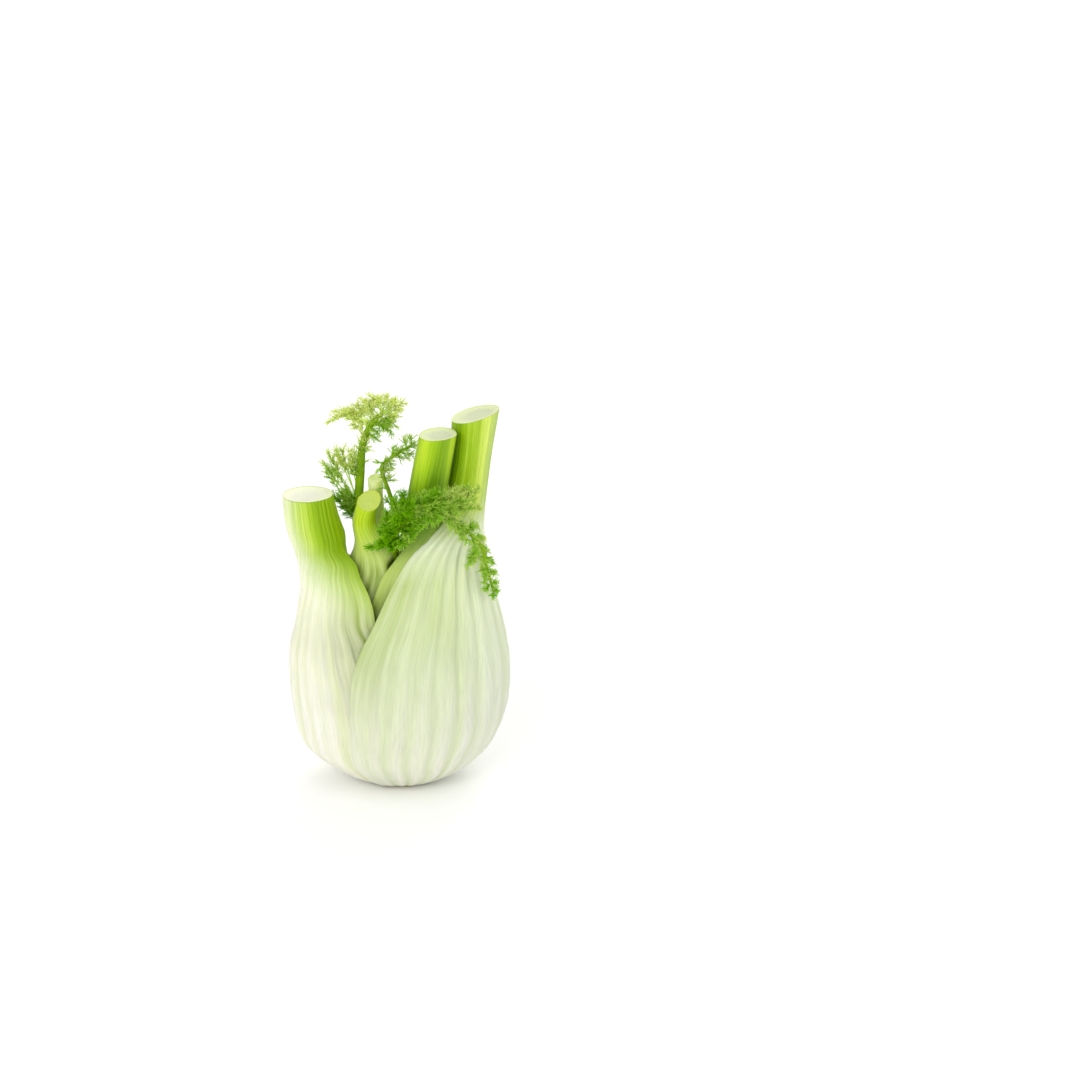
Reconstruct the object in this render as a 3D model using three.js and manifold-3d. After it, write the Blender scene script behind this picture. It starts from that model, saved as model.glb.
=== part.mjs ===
// A Florence fennel bulb, cut for the shop: five fleshy leaf bases clasping one another on a short
// stem, each running up into a stalk that is cut off flat, with three young feathery fronds left on.
// Millimetres, +Z up. X is the wide way across the flattened bulb, and -Y is its front.
// The origin is the middle of the trimmed base, on the surface that the bulb stands on.

import * as THREE from "three";
import { mergeVertices } from "three/addons/utils/BufferGeometryUtils.js";
import Module from "manifold-3d";

const wasm = await Module();
wasm.setup();

// ---------------------------------------------------------------- driving dimensions

const BASE_RADIUS = 15; // the trimmed root end, flat on the ground
const BASE_HEIGHT = 15;
const DEPTH_RATIO = 0.8; // the bulb's thickness front to back over its width
const BASE_DEPTH_RATIO = 0.92; // the same near the root, where it is rounder
const ROUND_BELOW = 22; // height at which the root's roundness has gone
const GAP = 0.35; // clear space between neighbouring pieces
const EDGE = 0.9; // thickness of a leaf base at its margins
const RIB_ALIKE = 0.35; // least depth of a furrow, as a share of the deepest
const TUCK_FROM = 70; // degrees each side of a leaf's middle at which its margins begin to tuck in

const SPRAY_RADIUS = 0.85; // stem of a frond's side spray, where it leaves the frond's stem
const NEEDLE_RADIUS = 0.48; // a leaf needle at its root; it tapers to a point
const CUT_TOLERANCE = 0.02; // surface detail finer than this is left out of a cut leaf base
const FROND_TOLERANCE = 0.12; // surface detail finer than this is left out of a frond
const NEEDLE_SPACING = 3; // between needles along a spray
const NEEDLE_ANGLE = 46; // degrees between a needle and the stem it leaves
const BARE = 0.3; // share of a spray's length, from its foot, that is without needles

// The bulb at each height, up to where the leaf bases part: its middle along X and half its width.
const PROFILE = [
  [0.8, 0.3, 17.8],
  [4, 0.6, 24.6],
  [9, 0.5, 32.4],
  [15, -0.6, 39.3],
  [22, -0.4, 43.2],
  [31, 0.5, 45.6],
  [41, 0.7, 47],
  [51, 0.7, 47.4],
  [61, 0.5, 46.6],
  [70, 0.7, 44.6],
];

// ---------------------------------------------------------------- small mathematics

const radians = THREE.MathUtils.degToRad;
const mix = THREE.MathUtils.lerp;
const smooth = THREE.MathUtils.smoothstep;
const clamp = THREE.MathUtils.clamp;

// A small seeded generator, so that every build draws the same numbers.
function seeded(seed) {
  let state = seed >>> 0;
  return () => {
    state = (state + 0x6d2b79f5) >>> 0;
    let bits = Math.imul(state ^ (state >>> 15), 1 | state);
    bits = (bits + Math.imul(bits ^ (bits >>> 7), 61 | bits)) ^ bits;
    return ((bits ^ (bits >>> 14)) >>> 0) / 4294967296;
  };
}

// Reads a list of numbers off the stations at place t, by a smooth curve through them all.
function along(stations, t, read) {
  const last = stations.length - 1;
  const k = clamp(Math.floor(t), 0, last - 1);
  const f = t - k;
  const [a, b, c, d] = [k - 1, k, k + 1, k + 2].map((i) => read(stations[clamp(i, 0, last)]));
  return b.map((value, i) => {
    const [into, outOf] = [(c[i] - a[i]) / 2, (d[i] - value) / 2];
    const rise = c[i] - value;
    return value + f * (into + f * (3 * rise - 2 * into - outOf + f * (into + outOf - 2 * rise)));
  });
}

// ---------------------------------------------------------------- solids

// Side faces between rings of equally many points, the rings stored one after another.
function walls(count, rings) {
  const faces = [];
  for (let k = 0; k + 1 < rings; k += 1) {
    for (let i = 0; i < count; i += 1) {
      const [a, b] = [k * count + i, k * count + ((i + 1) % count)];
      faces.push(a, b, b + count, a, b + count, a + count);
    }
  }
  return faces;
}

function solidOf(points, faces) {
  const geometry = new THREE.BufferGeometry().setFromPoints(points);
  geometry.setIndex(faces);
  const merged = mergeVertices(geometry, 1e-4);
  const corners = Array.from(merged.index.array);
  const sound = [];
  for (let i = 0; i < corners.length; i += 3) {
    const [a, b, c] = corners.slice(i, i + 3);
    if (a !== b && b !== c && c !== a) sound.push(a, b, c);
  }
  return new wasm.Manifold(
    new wasm.Mesh({
      numProp: 3,
      vertProperties: new Float32Array(merged.attributes.position.array),
      triVerts: new Uint32Array(sound),
    }),
  );
}

// Joins rings of points, listed anticlockwise from above and from the lowest up, into a closed solid.
function loft(rings) {
  const count = rings[0].length;
  const faces = walls(count, rings.length);
  const cap = (ring, first, up) => {
    const flat = ring.map((p) => new THREE.Vector2(p.x, p.y));
    for (const [a, b, c] of THREE.ShapeUtils.triangulateShape(flat, [])) {
      faces.push(...(up ? [first + a, first + b, first + c] : [first + c, first + b, first + a]));
    }
  };
  cap(rings[0], 0, false);
  cap(rings.at(-1), (rings.length - 1) * count, true);
  return solidOf(rings.flat(), faces);
}

// A tube through a list of points, with a radius at each; a radius of nothing makes a pointed end.
function tube({ points, radii, sides }) {
  const corners = [];
  let side = null;
  points.forEach((point, k) => {
    const ahead = points[Math.min(k + 1, points.length - 1)].clone();
    ahead.sub(points[Math.max(k - 1, 0)]).normalize();
    side ??= Math.abs(ahead.z) > 0.9 ? new THREE.Vector3(1, 0, 0) : new THREE.Vector3(0, 0, 1);
    side.projectOnPlane(ahead).normalize();
    const other = ahead.clone().cross(side);
    for (let i = 0; i < sides; i += 1) {
      const angle = (2 * Math.PI * i) / sides;
      const corner = point.clone().addScaledVector(side, radii[k] * Math.cos(angle));
      corners.push(corner.addScaledVector(other, radii[k] * Math.sin(angle)));
    }
  });
  const faces = walls(sides, points.length);
  const last = corners.length - sides;
  for (let i = 1; i + 1 < sides; i += 1) {
    faces.push(0, i + 1, i, last, last + i, last + i + 1);
  }
  return solidOf(corners, faces);
}

// The largest piece of a solid, with loose scraps dropped.
function largest(solid) {
  return solid.decompose().sort((a, b) => b.volume() - a.volume())[0];
}

function cut(solid, cutters) {
  return largest(cutters.reduce((body, cutter) => body.subtract(cutter), solid).simplify(CUT_TOLERANCE));
}

function meshOf(name, solid, material) {
  const { numProp, vertProperties, triVerts } = solid.getMesh();
  const geometry = new THREE.BufferGeometry();
  const positions = [];
  for (let i = 0; i < vertProperties.length; i += numProp) {
    positions.push(vertProperties[i], vertProperties[i + 1], vertProperties[i + 2]);
  }
  geometry.setAttribute("position", new THREE.Float32BufferAttribute(positions, 3));
  geometry.setIndex(Array.from(triVerts));
  geometry.computeVertexNormals();
  const mesh = new THREE.Mesh(geometry, material);
  mesh.name = name;
  return mesh;
}

// ---------------------------------------------------------------- leaf bases

// A leaf base is a thick scoop round part of the bulb that narrows into a round stalk. Each station
// gives one level cut through it: its height, the middle and half widths of its outer curve, how far
// that curve wraps each side of the way the leaf faces, in degrees, and how thick the leaf is there.
// It may also give how deep the margins tuck in under the leaf outside, how far the leaf has changed
// from scoop (0) to stalk (1), how far it turns from the way it faces, and the cut's slope in X and Y.
function level(z, at, half, wrap, thick, more = {}) {
  return { z, at, half, wrap, thick, tuck: 0, stalk: 0, turn: 0, slope: [0, 0], ...more };
}

// A station on the bulb's own outline, drawn in by inset.
function onBulb(z, wrap, thick, tuck = 0, inset = 0) {
  const ratio = mix(BASE_DEPTH_RATIO, DEPTH_RATIO, smooth(z, 0, ROUND_BELOW));
  const [, x, half] = PROFILE.find(([height]) => height === z);
  return level(z, [x, 0], [half - inset, half * ratio - inset], wrap, thick, { tuck });
}

const OUTER_RIGHT = {
  face: -4,
  ribs: 17,
  furrow: 1.25,
  seed: 11,
  stations: [
    onBulb(0.8, 110, 3.4),
    onBulb(4, 111, 4.6),
    onBulb(9, 112, 5.5),
    onBulb(15, 112, 6),
    onBulb(22, 112, 6.4),
    onBulb(31, 112, 6.8),
    onBulb(41, 112, 7),
    onBulb(51, 111, 7),
    onBulb(61, 109, 6.8),
    onBulb(70, 106, 6.6),
    level(79, [2.2, 0.3], [40.8, 33], 103, 6.6),
    level(88, [5.2, 0.6], [35.6, 29.5], 102, 7, { turn: -1 }),
    level(98, [10.6, 1.2], [28.2, 25], 105, 8, { turn: -2 }),
    level(106, [15.4, 1.9], [22.4, 20.6], 106, 10.5, { stalk: 0.15, turn: -3 }),
    level(113, [20.4, 2.7], [17, 16.4], 101, 15.5, { stalk: 0.5, turn: -4 }),
    level(119, [24.4, 3.4], [13.2, 12.8], 95, 20, { stalk: 0.85, turn: -4 }),
    level(126, [27.7, 3.9], [10.5, 10.3], 90, 19.8, { stalk: 1, turn: -4, slope: [-0.08, 0] }),
    level(143, [30.7, 4.5], [9.8, 9.5], 90, 18.6, { stalk: 1, turn: -4, slope: [0.1, 0] }),
    level(160.5, [32.4, 5], [11.3, 9.8], 90, 20.8, { stalk: 1, turn: -4, slope: [0.25, 0.02] }),
  ],
};

const OUTER_LEFT = {
  face: 178,
  ribs: 17,
  furrow: 1.2,
  seed: 23,
  stations: [
    onBulb(0.8, 102, 3.4, 1.5),
    onBulb(4, 104, 4.6, 3),
    onBulb(9, 107, 5.5, 4.2),
    onBulb(15, 107, 6, 4.8),
    onBulb(22, 107, 6.4, 5),
    onBulb(31, 106, 6.8, 5.2),
    onBulb(41, 104, 7, 5.3),
    onBulb(51, 101, 7, 5.3),
    onBulb(61, 96, 7, 5),
    onBulb(70, 90, 7, 4),
    level(79, [-2.8, -0.4], [39.6, 31.6], 82.5, 7.4, { tuck: 2, turn: 3 }),
    level(87, [-9.2, -1.2], [31.9, 27.6], 87, 8.8, { turn: 6 }),
    level(93, [-15.4, -2], [26, 24.2], 88, 13, { turn: 14 }),
    level(98, [-21.4, -2.8], [20.4, 20], 91, 19, { stalk: 0.2, turn: 22 }),
    level(102, [-26.6, -3.5], [16.2, 16.2], 95, 22, { stalk: 0.5, turn: 36 }),
    level(106, [-31.4, -4.3], [12.4, 13.2], 96, 24, { stalk: 0.8, turn: 50 }),
    level(111, [-33, -4.8], [11.9, 12.2], 90, 23.8, { stalk: 1, turn: 60, slope: [0.1, 0.03] }),
    level(119, [-35.1, -5.4], [11.4, 11.7], 90, 22.9, { stalk: 1, turn: 64, slope: [0.12, 0.03] }),
    level(129.3, [-36.5, -6.2], [10.7, 10.8], 90, 21.5, { stalk: 1, turn: 66, slope: [0.02, 0] }),
  ],
};

const INNER_RIGHT = {
  face: -14,
  ribs: 9,
  furrow: 0.7,
  seed: 37,
  stations: [
    level(5, [0, 0], [17.5, 15], 100, 9),
    onBulb(9, 104, 14, 0, 8.5),
    onBulb(22, 106, 22, 0, 8.5),
    onBulb(41, 108, 28, 0, 8.5),
    onBulb(61, 108, 28, 0, 8.3),
    level(75, [1, 0], [36, 28], 105, 26),
    level(85, [2, -0.6], [31.5, 25.5], 101, 22),
    level(92, [3.2, -1.4], [27, 22.6], 101, 19.5),
    level(98, [5, -2.2], [22, 19.4], 104, 18, { stalk: 0.1 }),
    level(104, [7.6, -3.2], [16.4, 15.4], 104, 18, { stalk: 0.4 }),
    level(110, [9.4, -4.2], [11.8, 11.6], 98, 19.4, { stalk: 0.8 }),
    level(117, [10.8, -4.8], [9.6, 9.6], 90, 18.2, { stalk: 1, slope: [-0.1, 0] }),
    level(135, [13.8, -5.4], [8.9, 9], 90, 17, { stalk: 1, slope: [-0.05, 0] }),
    level(155.5, [17.6, -6], [8.6, 8.7], 90, 16.4, { stalk: 1, slope: [0.04, 0.02] }),
  ],
};

const INNER_LEFT = {
  face: 176,
  ribs: 8,
  furrow: 0.4,
  seed: 41,
  stations: [
    level(5, [0, 0], [17, 14.5], 92, 12),
    onBulb(9, 98, 18, 1, 8.5),
    onBulb(22, 100, 27, 1.5, 8.5),
    onBulb(41, 100, 31, 1.5, 8.5),
    onBulb(61, 100, 30, 1.5, 8.3),
    level(75, [0, 0], [35, 27.5], 94, 24, { tuck: 1.5, turn: 4 }),
    level(85, [-3.6, -1], [27, 23.4], 89, 20, { tuck: 1, turn: 9 }),
    level(92, [-5.4, -2.2], [20.8, 18.8], 88, 18, { stalk: 0.2, turn: 14 }),
    level(98, [-6, -3.2], [15.6, 14.2], 90, 19, { stalk: 0.5, turn: 16 }),
    level(103, [-6.6, -2.8], [12.4, 11.8], 92, 20, { stalk: 0.9, turn: 10 }),
    level(107.5, [-8.4, -0.6], [9.6, 9.2], 92, 17.2, { stalk: 1, turn: 3 }),
    level(112, [-11.7, 2], [7.1, 6.4], 90, 12.2, { stalk: 1 }),
    level(116, [-12.4, 2.9], [6.2, 5.7], 90, 11.1, { stalk: 1 }),
    level(123.2, [-11, 3.2], [5.8, 5.8], 90, 10.8, { stalk: 1, slope: [0.1, 0.5] }),
  ],
};

// The youngest leaf, at the heart of the bulb, where the fronds come up.
const HEART = {
  face: 90,
  ribs: 6,
  furrow: 0,
  seed: 53,
  stations: [
    level(62, [-1, 3], [7, 6.5], 90, 12, { stalk: 1 }),
    level(78, [-1.5, 5], [7.2, 6.6], 90, 12.2, { stalk: 1 }),
    level(89, [-2, 8], [6.6, 6.2], 90, 11.6, { stalk: 1 }),
    level(98.5, [-3.4, 11], [5.7, 5.6], 90, 10.4, { stalk: 1 }),
    level(106, [-6, 12.2], [4.7, 4.6], 90, 8.8, { stalk: 1 }),
    level(113, [-8.2, 12.6], [3.6, 3.6], 90, 6.6, { stalk: 1 }),
    level(121, [-8.9, 12.8], [3.1, 3.1], 90, 5.6, { stalk: 1 }),
    level(129.5, [-9.2, 12.8], [3.3, 3.3], 90, 6, { stalk: 1, slope: [0.1, 0.4] }),
  ],
};

// How deep each furrow is, as a share of the deepest; the ridges between them stand at 0.
function furrows({ ribs, seed }) {
  const draw = seeded(seed);
  return Array.from({ length: 2 * ribs + 1 }, (_, i) => (i % 2 ? mix(RIB_ALIKE, 1, draw()) : 0));
}

// One ring of a leaf base at place t among its stations, grown outwards by grow on every side.
function ring(leaf, t, depths, grow) {
  const [z, x, y, halfX, halfY, wrap, thick, tuck, stalk, turn, slopeX, slopeY] = along(
    leaf.stations,
    t,
    (s) => [s.z, ...s.at, ...s.half, s.wrap, s.thick, s.tuck, s.stalk, s.turn, ...s.slope],
  );
  const face = radians(leaf.face + turn);
  const turned = clamp(stalk, 0, 1);
  const size = Math.min(halfX, halfY);
  const outer = [];
  const inner = [];
  const columns = depths.length - 1;
  const lateral = radians(wrap) + grow / size;
  for (let i = 0; i <= columns; i += 1) {
    const u = (2 * i) / columns - 1;
    const angle = face + u * lateral;
    const out = new THREE.Vector2(Math.cos(angle) / halfX, Math.sin(angle) / halfY).normalize();
    const fade = 1 - smooth(Math.abs(u), 0.85, 1);
    const furrow = grow ? 0 : leaf.furrow * depths[i] * fade * Math.min(1, size / 24 + 0.15);
    const dive = tuck * smooth(Math.abs(u) * wrap, TUCK_FROM, wrap) * (1 - turned);
    const rim = new THREE.Vector2(halfX * Math.cos(angle), halfY * Math.sin(angle));
    rim.addScaledVector(out, grow - dive);
    outer.push(rim.clone().addScaledVector(out, -furrow));
    if (i % 3 === 0 || i === columns) {
      const inward = out.multiplyScalar(1 - turned);
      inward.x += Math.cos(face) * turned;
      inward.y += Math.sin(face) * turned;
      inward.normalize();
      const swell = Math.cos((Math.PI / 2) * u);
      const depth = (thick - EDGE) * swell + mix(EDGE, 0.3, turned) + 2 * grow;
      inner.push(rim.addScaledVector(inward, -depth));
    }
  }
  return [...outer, ...inner.reverse()].map(
    (p) => new THREE.Vector3(x + p.x, y + p.y, z + slopeX * p.x + slopeY * p.y),
  );
}

// The solid of a leaf base. Grown, it is the cutter that leaves the gap round the leaf.
function leafSolid(leaf, grow = 0) {
  const depths = furrows(leaf);
  const rings = leaf.stations.map((_, t) => ring(leaf, t, depths, grow));
  const shifted = (points, rise) => points.map((p) => new THREE.Vector3(p.x, p.y, p.z + rise));
  if (grow) {
    rings.unshift(shifted(rings[0], -grow));
    rings.push(shifted(rings.at(-1), grow));
  }
  return loft(rings);
}

// ---------------------------------------------------------------- stem

// The short stem that the leaves grow on: a low plug whose underside is the cut root end.
function stemSolid(grow = 0) {
  const outline = [
    [0, -grow],
    [BASE_RADIUS + grow, -grow],
    [BASE_RADIUS + 1 + grow, 1],
    [BASE_RADIUS + 0.5 + grow, 4],
    [BASE_RADIUS - 4 + grow, BASE_HEIGHT * 0.75],
    [0, BASE_HEIGHT + grow],
  ].map(([r, z]) => new THREE.Vector2(r, z));
  const lathe = new THREE.LatheGeometry(outline, 30).rotateX(Math.PI / 2);
  const position = lathe.getAttribute("position");
  const points = Array.from({ length: position.count }, (_, i) =>
    new THREE.Vector3().fromBufferAttribute(position, i),
  );
  return solidOf(points, Array.from(lathe.index.array));
}

// ---------------------------------------------------------------- fronds

// A frond is a bent stem, given as points with a radius at each, and sprays that leave it. A spray is
// its place along the stem, the point its tip reaches, how far it bows upwards on the way, the length
// of its needles and, if it isn't BARE, the share of its own length that is without them.
const FROND_TALL = {
  seed: 101,
  stem: [
    [-5, 8, 86, 2.1],
    [-8, 11.6, 96, 2],
    [-12.2, 12.4, 106, 1.9],
    [-16, 11.8, 115, 1.8],
    [-16.1, 11, 122.5, 2],
    [-15.5, 10.4, 130, 1.95],
    [-14.9, 9.8, 137, 1.8],
    [-14.4, 9.4, 143.5, 1.65],
    [-13.2, 9, 148.5, 1.5],
    [-11.3, 8.4, 153.3, 1.35],
    [-8.6, 8, 157.2, 1.2],
    [-5.5, 7.5, 160, 0.8],
  ],
  sprays: [
    [11, [-10.5, 8, 167.5], 1, 4.5],
    [11, [-7, 5, 168], 1, 4.5],
    [11, [-3.5, 9, 167], 1, 4.5],
    [11, [0.5, 5, 167], 1, 4.5],
    [11, [3.5, 8, 164.5], 1, 4.5],
    [11, [2, 5, 162], 1, 4.5],
    [11, [1, 10, 158.5], 0, 4],
    [10.6, [-14, 8, 165.5], 0, 5],
    [10.4, [0, 7, 155], 1, 5],
    [10.4, [-2, 5, 156], 1, 4.5],
    [10.2, [-12, 5, 165], 0, 5],
    [10, [-2, 10, 150.5], 2, 4.5],
    [10, [-4.5, 4, 155], 1, 4.5],
    [9.8, [-16.5, 11, 163], 0, 5],
    [9.4, [-4, 6.5, 153.5], 1, 4.5],
    [9.4, [-20.5, 9, 161], 4, 5],
    [9.4, [-29, 8, 155.5], 8, 4.5],
    [9.2, [-25.5, 7, 160.5], 5, 5],
    [9.2, [-7.5, 5, 152.5], 0, 4.5],
    [9, [-19.5, 12, 156.5], 2, 4.5],
    [8.6, [-8, 11, 147.5], 0, 4],
    [8.4, [-17.5, 9, 155], 1, 4.5],
    [7, [-12, 8, 144.5], 1, 4],
    [5, [-20, 9, 135.5], 0, 4.5],
    [4.2, [-18.5, 13, 141], 0, 4.5, 0.6],
    [4, [-20, 8.5, 144.5], -1, 4.5, 0.6],
    [3.6, [-26, 10, 144.5], 1, 5, 0.6],
    [3.6, [-26.5, 9, 136], -2, 4.5, 0.65],
    [3.4, [-22, 9, 126.5], 0, 5],
    [3.4, [-29.5, 13, 141.5], 0, 5, 0.65],
    [3.2, [-31, 10, 138.5], -2, 5, 0.65],
    [3.2, [-23.5, 14, 143.5], 0, 5, 0.65],
    [3.2, [-21, 9.5, 125], 0, 4.5],
    [3, [-30.5, 13, 133.5], -2, 4.5, 0.7],
    [3, [-21, 14, 124.5], 0, 4.5],
    [2.8, [-27, 11, 123], -2, 5],
    [2.8, [-24, 12, 124], -1, 5],
    [2.6, [-25.5, 13, 121], 0, 5],
    [2.4, [-24, 9, 124], 0, 5],
    [2.2, [-23, 13, 117], 0, 4.5],
  ],
};

const FROND_BEHIND = {
  seed: 202,
  stem: [
    [0, 5, 88, 1.19],
    [-0.5, 5.5, 98, 1.15],
    [-0.5, 6, 108, 1.1],
    [-1, 6.5, 117, 1.02],
    [-3, 7, 125, 0.94],
    [-5.2, 7.6, 131.5, 0.85],
    [-6.2, 8, 136.3, 0.81],
    [-3.3, 8.5, 139.2, 0.77],
    [1.1, 9, 142.6, 0.68],
    [6, 9.5, 145, 0.59],
  ],
  sprays: [
    [9, [6.5, 9.5, 148.5], 0, 4.5],
    [8.6, [3, 11, 147], 0, 4],
    [8.4, [9, 12, 145], 0, 4.5],
    [8, [6.5, 9, 141.5], 0, 4.5],
    [7.6, [1.5, 12, 139], 0, 4],
    [7.2, [-1, 11, 144.5], 0, 3.5],
    [7, [-2, 9, 136], 0, 4],
    [6.6, [-8, 8, 138.5], 0, 3.5],
    [6, [-9, 8, 134], 0, 4],
    [5.4, [-4, 13, 133.5], 1, 4],
    [4.6, [-2.5, 10.5, 130.5], 1, 4],
    [4.2, [-7.5, 10, 126], 1, 4],
    [3.6, [1, 9, 126], 1, 4.5],
    [3.2, [-4.5, 10, 120.5], 1, 4],
  ],
};

const FROND_FRONT = {
  seed: 303,
  stem: [
    [0, -4, 88, 1.5],
    [0, -6, 97, 1.45],
    [-0.5, -9.5, 105, 1.4],
    [-0.5, -14.5, 111.5, 1.3],
    [2, -18.5, 118.5, 1.2],
    [7, -21.5, 125.5, 1.1],
    [12.5, -22.6, 129.6, 1],
    [18.5, -23, 130.8, 0.95],
    [22.7, -23.8, 126.5, 0.9],
    [27.8, -24, 121.5, 0.85],
    [32.7, -23, 116.3, 0.8],
    [36.5, -21.5, 110.7, 0.75],
    [38.2, -19.4, 101.1, 0.65],
    [41, -17, 90, 0.5],
  ],
  sprays: [
    [2.4, [-11.5, -15, 108.5], 2, 4],
    [2.6, [-7, -18, 111], 2, 4.5],
    [2.6, [-7, -13.5, 115.5], 1, 5],
    [2.8, [-1.5, -22, 111], 2, 5],
    [2.8, [-3.5, -13, 123], 0, 5],
    [3, [0.5, -13.5, 129], 0, 5.5],
    [3.2, [3.5, -26, 114], 3, 5.5],
    [3.4, [-3, -24, 117], 3, 5.5],
    [3.6, [4, -17, 133], 0, 5.5],
    [3.8, [7.5, -28, 117.5], 3, 5.5],
    [4, [1.5, -26, 124.5], 3, 6],
    [4.2, [8.5, -18, 131.5], 0, 5.5],
    [4.4, [11.5, -28, 123], 3, 6],
    [4.8, [13, -19, 133.5], 0, 5.5],
    [5, [6.5, -27.5, 128.5], 3, 6],
    [5.3, [15, -29, 125.5], 3, 6],
    [5.6, [17.5, -21, 135], 0, 5],
    [6, [22, -20.5, 135], 0, 5],
    [6.3, [19.5, -29, 126], 4, 5.5],
    [6.6, [26.5, -28, 128], 2, 5.5],
    [6.8, [26, -19, 135.5], 0, 5],
    [7, [24.5, -28.5, 122], 4, 5.5],
    [7.3, [30, -18, 136], 0, 5],
    [7.5, [33, -24, 133], 2, 5],
    [7.6, [36, -17, 126.5], 1, 4],
    [7.8, [28, -28, 117.5], 3, 5],
    [8, [35, -17, 136], 0, 4.5],
    [8.4, [30.5, -27, 115.5], 2, 4.5],
    [9.3, [34, -17, 119], 1, 4],
    [9.8, [34, -25, 110], 2, 3.5],
    [10, [37, -16.5, 113], 1, 3.5],
    [10.4, [33, -21, 104.5], 1, 3.5],
    [10.8, [30, -24, 103.5], 2, 3.5],
    [11, [38.5, -15.5, 107.5], 1, 3],
    [11.2, [35.5, -20, 100], 1, 3.5],
    [11.4, [40.5, -14, 101], 1, 3],
    [11.8, [37, -22.5, 96], 2, 3.5],
    [12.2, [41.5, -13.5, 97], 1, 3],
    [12.6, [37.5, -19.5, 91.5], 1, 3.6],
    [12.6, [42, -15, 93], 1, 3],
    [13, [42, -13, 89], 0, 3],
    [13, [40.5, -15.5, 87], 0, 3],
  ],
};

const needle = (from, heading, length) => ({
  points: [from, from.clone().addScaledVector(heading, length)],
  radii: [NEEDLE_RADIUS, 0],
  sides: 3,
});

// A heading that leaves another at an angle, on the side given by a roll about it.
function branching(heading, angle, roll) {
  const across = new THREE.Vector3(0, 0, 1).cross(heading);
  if (across.length() < 0.2) across.set(0, -1, 0).cross(heading);
  across.normalize().applyAxisAngle(heading, roll);
  return heading.clone().multiplyScalar(Math.cos(angle)).addScaledVector(across, Math.sin(angle));
}

// The stem of a spray and its needles, which leave it by turns to the left and the right.
function sprayStrands({ stem }, [place, tip, bow, reach, bare = BARE], draw) {
  const from = new THREE.Vector3(...along(stem, place, (p) => p.slice(0, 3)));
  const to = new THREE.Vector3(...tip);
  const over = from.clone().add(to).multiplyScalar(0.5).setZ((from.z + to.z) / 2 + bow);
  const curve = new THREE.QuadraticBezierCurve3(from, over, to);
  const radii = [1, 0.8, 0].map((share) => share * SPRAY_RADIUS);
  const strands = [{ points: curve.getPoints(2), radii, sides: 3 }];
  const count = Math.max(3, Math.round((from.distanceTo(to) * (1 - bare)) / NEEDLE_SPACING));
  for (let i = 0; i < count; i += 1) {
    const v = mix(bare, 0.92, i / (count - 1));
    const side = i % 2 ? 0 : Math.PI;
    const roll = side + (draw() - 0.5) * 1.9;
    const angle = radians(NEEDLE_ANGLE) * mix(0.8, 1.2, draw());
    const length = reach * mix(0.8, 1.15, draw()) * (1.15 - 0.5 * v);
    const foot = curve.getPoint(v);
    const heading = branching(curve.getTangent(v), angle, roll);
    strands.push(needle(foot, heading, length));
  }
  return strands;
}

function frondSolids(frond) {
  const draw = seeded(frond.seed);
  const stem = {
    points: frond.stem.map(([x, y, z]) => new THREE.Vector3(x, y, z)),
    radii: frond.stem.map((p) => p[3]),
    sides: 6,
  };
  const strands = frond.sprays.flatMap((spray) => sprayStrands(frond, spray, draw));
  return { stem, strands };
}

// Each strand made thicker by the gap, and run on past its ends by as much.
function grown({ points, radii, sides }) {
  const spread = sides === 3 ? 2 * GAP : 1.2 * GAP;
  const longer = points.map((p) => p.clone());
  const run = (end, next) => end.addScaledVector(end.clone().sub(next).normalize(), 2 * GAP);
  run(longer[0], points[1]);
  run(longer.at(-1), points.at(-2));
  return { points: longer, radii: radii.map((r) => r + spread), sides };
}

const fused = (strands) => wasm.Manifold.union(strands.map(tube));

// ---------------------------------------------------------------- assembly

const [tall, behind, front] = [FROND_TALL, FROND_BEHIND, FROND_FRONT].map(frondSolids);
const sockets = fused([tall.stem, behind.stem, front.stem].map(grown));

const stem = stemSolid();
const bodies = [stemSolid(GAP)];
const leaves = [OUTER_RIGHT, OUTER_LEFT, INNER_RIGHT, INNER_LEFT, HEART].map((leaf) => {
  const solid = cut(leafSolid(leaf), [...bodies, sockets]);
  bodies.push(leafSolid(leaf, GAP));
  return solid;
});
const [outerRight, outerLeft, innerRight, innerLeft, heart] = leaves;

// A frond keeps clear of the leaf bases and of the fronds made before it, but for its own stem.
const fronds = [front, tall, behind].map(({ stem: own, strands }) => {
  const foliage = bodies.reduce((body, cutter) => body.subtract(cutter), fused(strands));
  bodies.push(fused([own, ...strands].map(grown)));
  return largest(foliage.add(tube(own)).simplify(FROND_TOLERANCE));
});
const [frondFront, frondTall, frondBehind] = fronds;

const finish = (color, roughness) => new THREE.MeshStandardMaterial({ color, roughness, metalness: 0 });
const rootEnd = finish(0xd9cfa8, 0.8);
const flesh = finish(0xe3e9c8, 0.45);
const innerFlesh = finish(0xc9d98f, 0.5);
const greenery = finish(0x5f9616, 0.6);

const fennel = new THREE.Group();
fennel.name = "fennel_bulb";
fennel.add(
  meshOf("stem_base", stem, rootEnd),
  meshOf("leaf_outer_right", outerRight, flesh),
  meshOf("leaf_outer_left", outerLeft, flesh),
  meshOf("leaf_inner_right", innerRight, innerFlesh),
  meshOf("leaf_inner_left", innerLeft, innerFlesh),
  meshOf("leaf_heart", heart, innerFlesh),
  meshOf("frond_tall", frondTall, greenery),
  meshOf("frond_front", frondFront, greenery),
  meshOf("frond_behind", frondBehind, greenery),
);

export default fennel;
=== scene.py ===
# The looks of a Florence fennel bulb: ribbed leaf bases with cut stalks, feathery fronds and a trimmed
# root end, each built at a fine scale over the solid of the same name.
import math

import bpy
import numpy as np
from mathutils import Matrix, Vector
from mathutils.bvhtree import BVHTree


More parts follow.
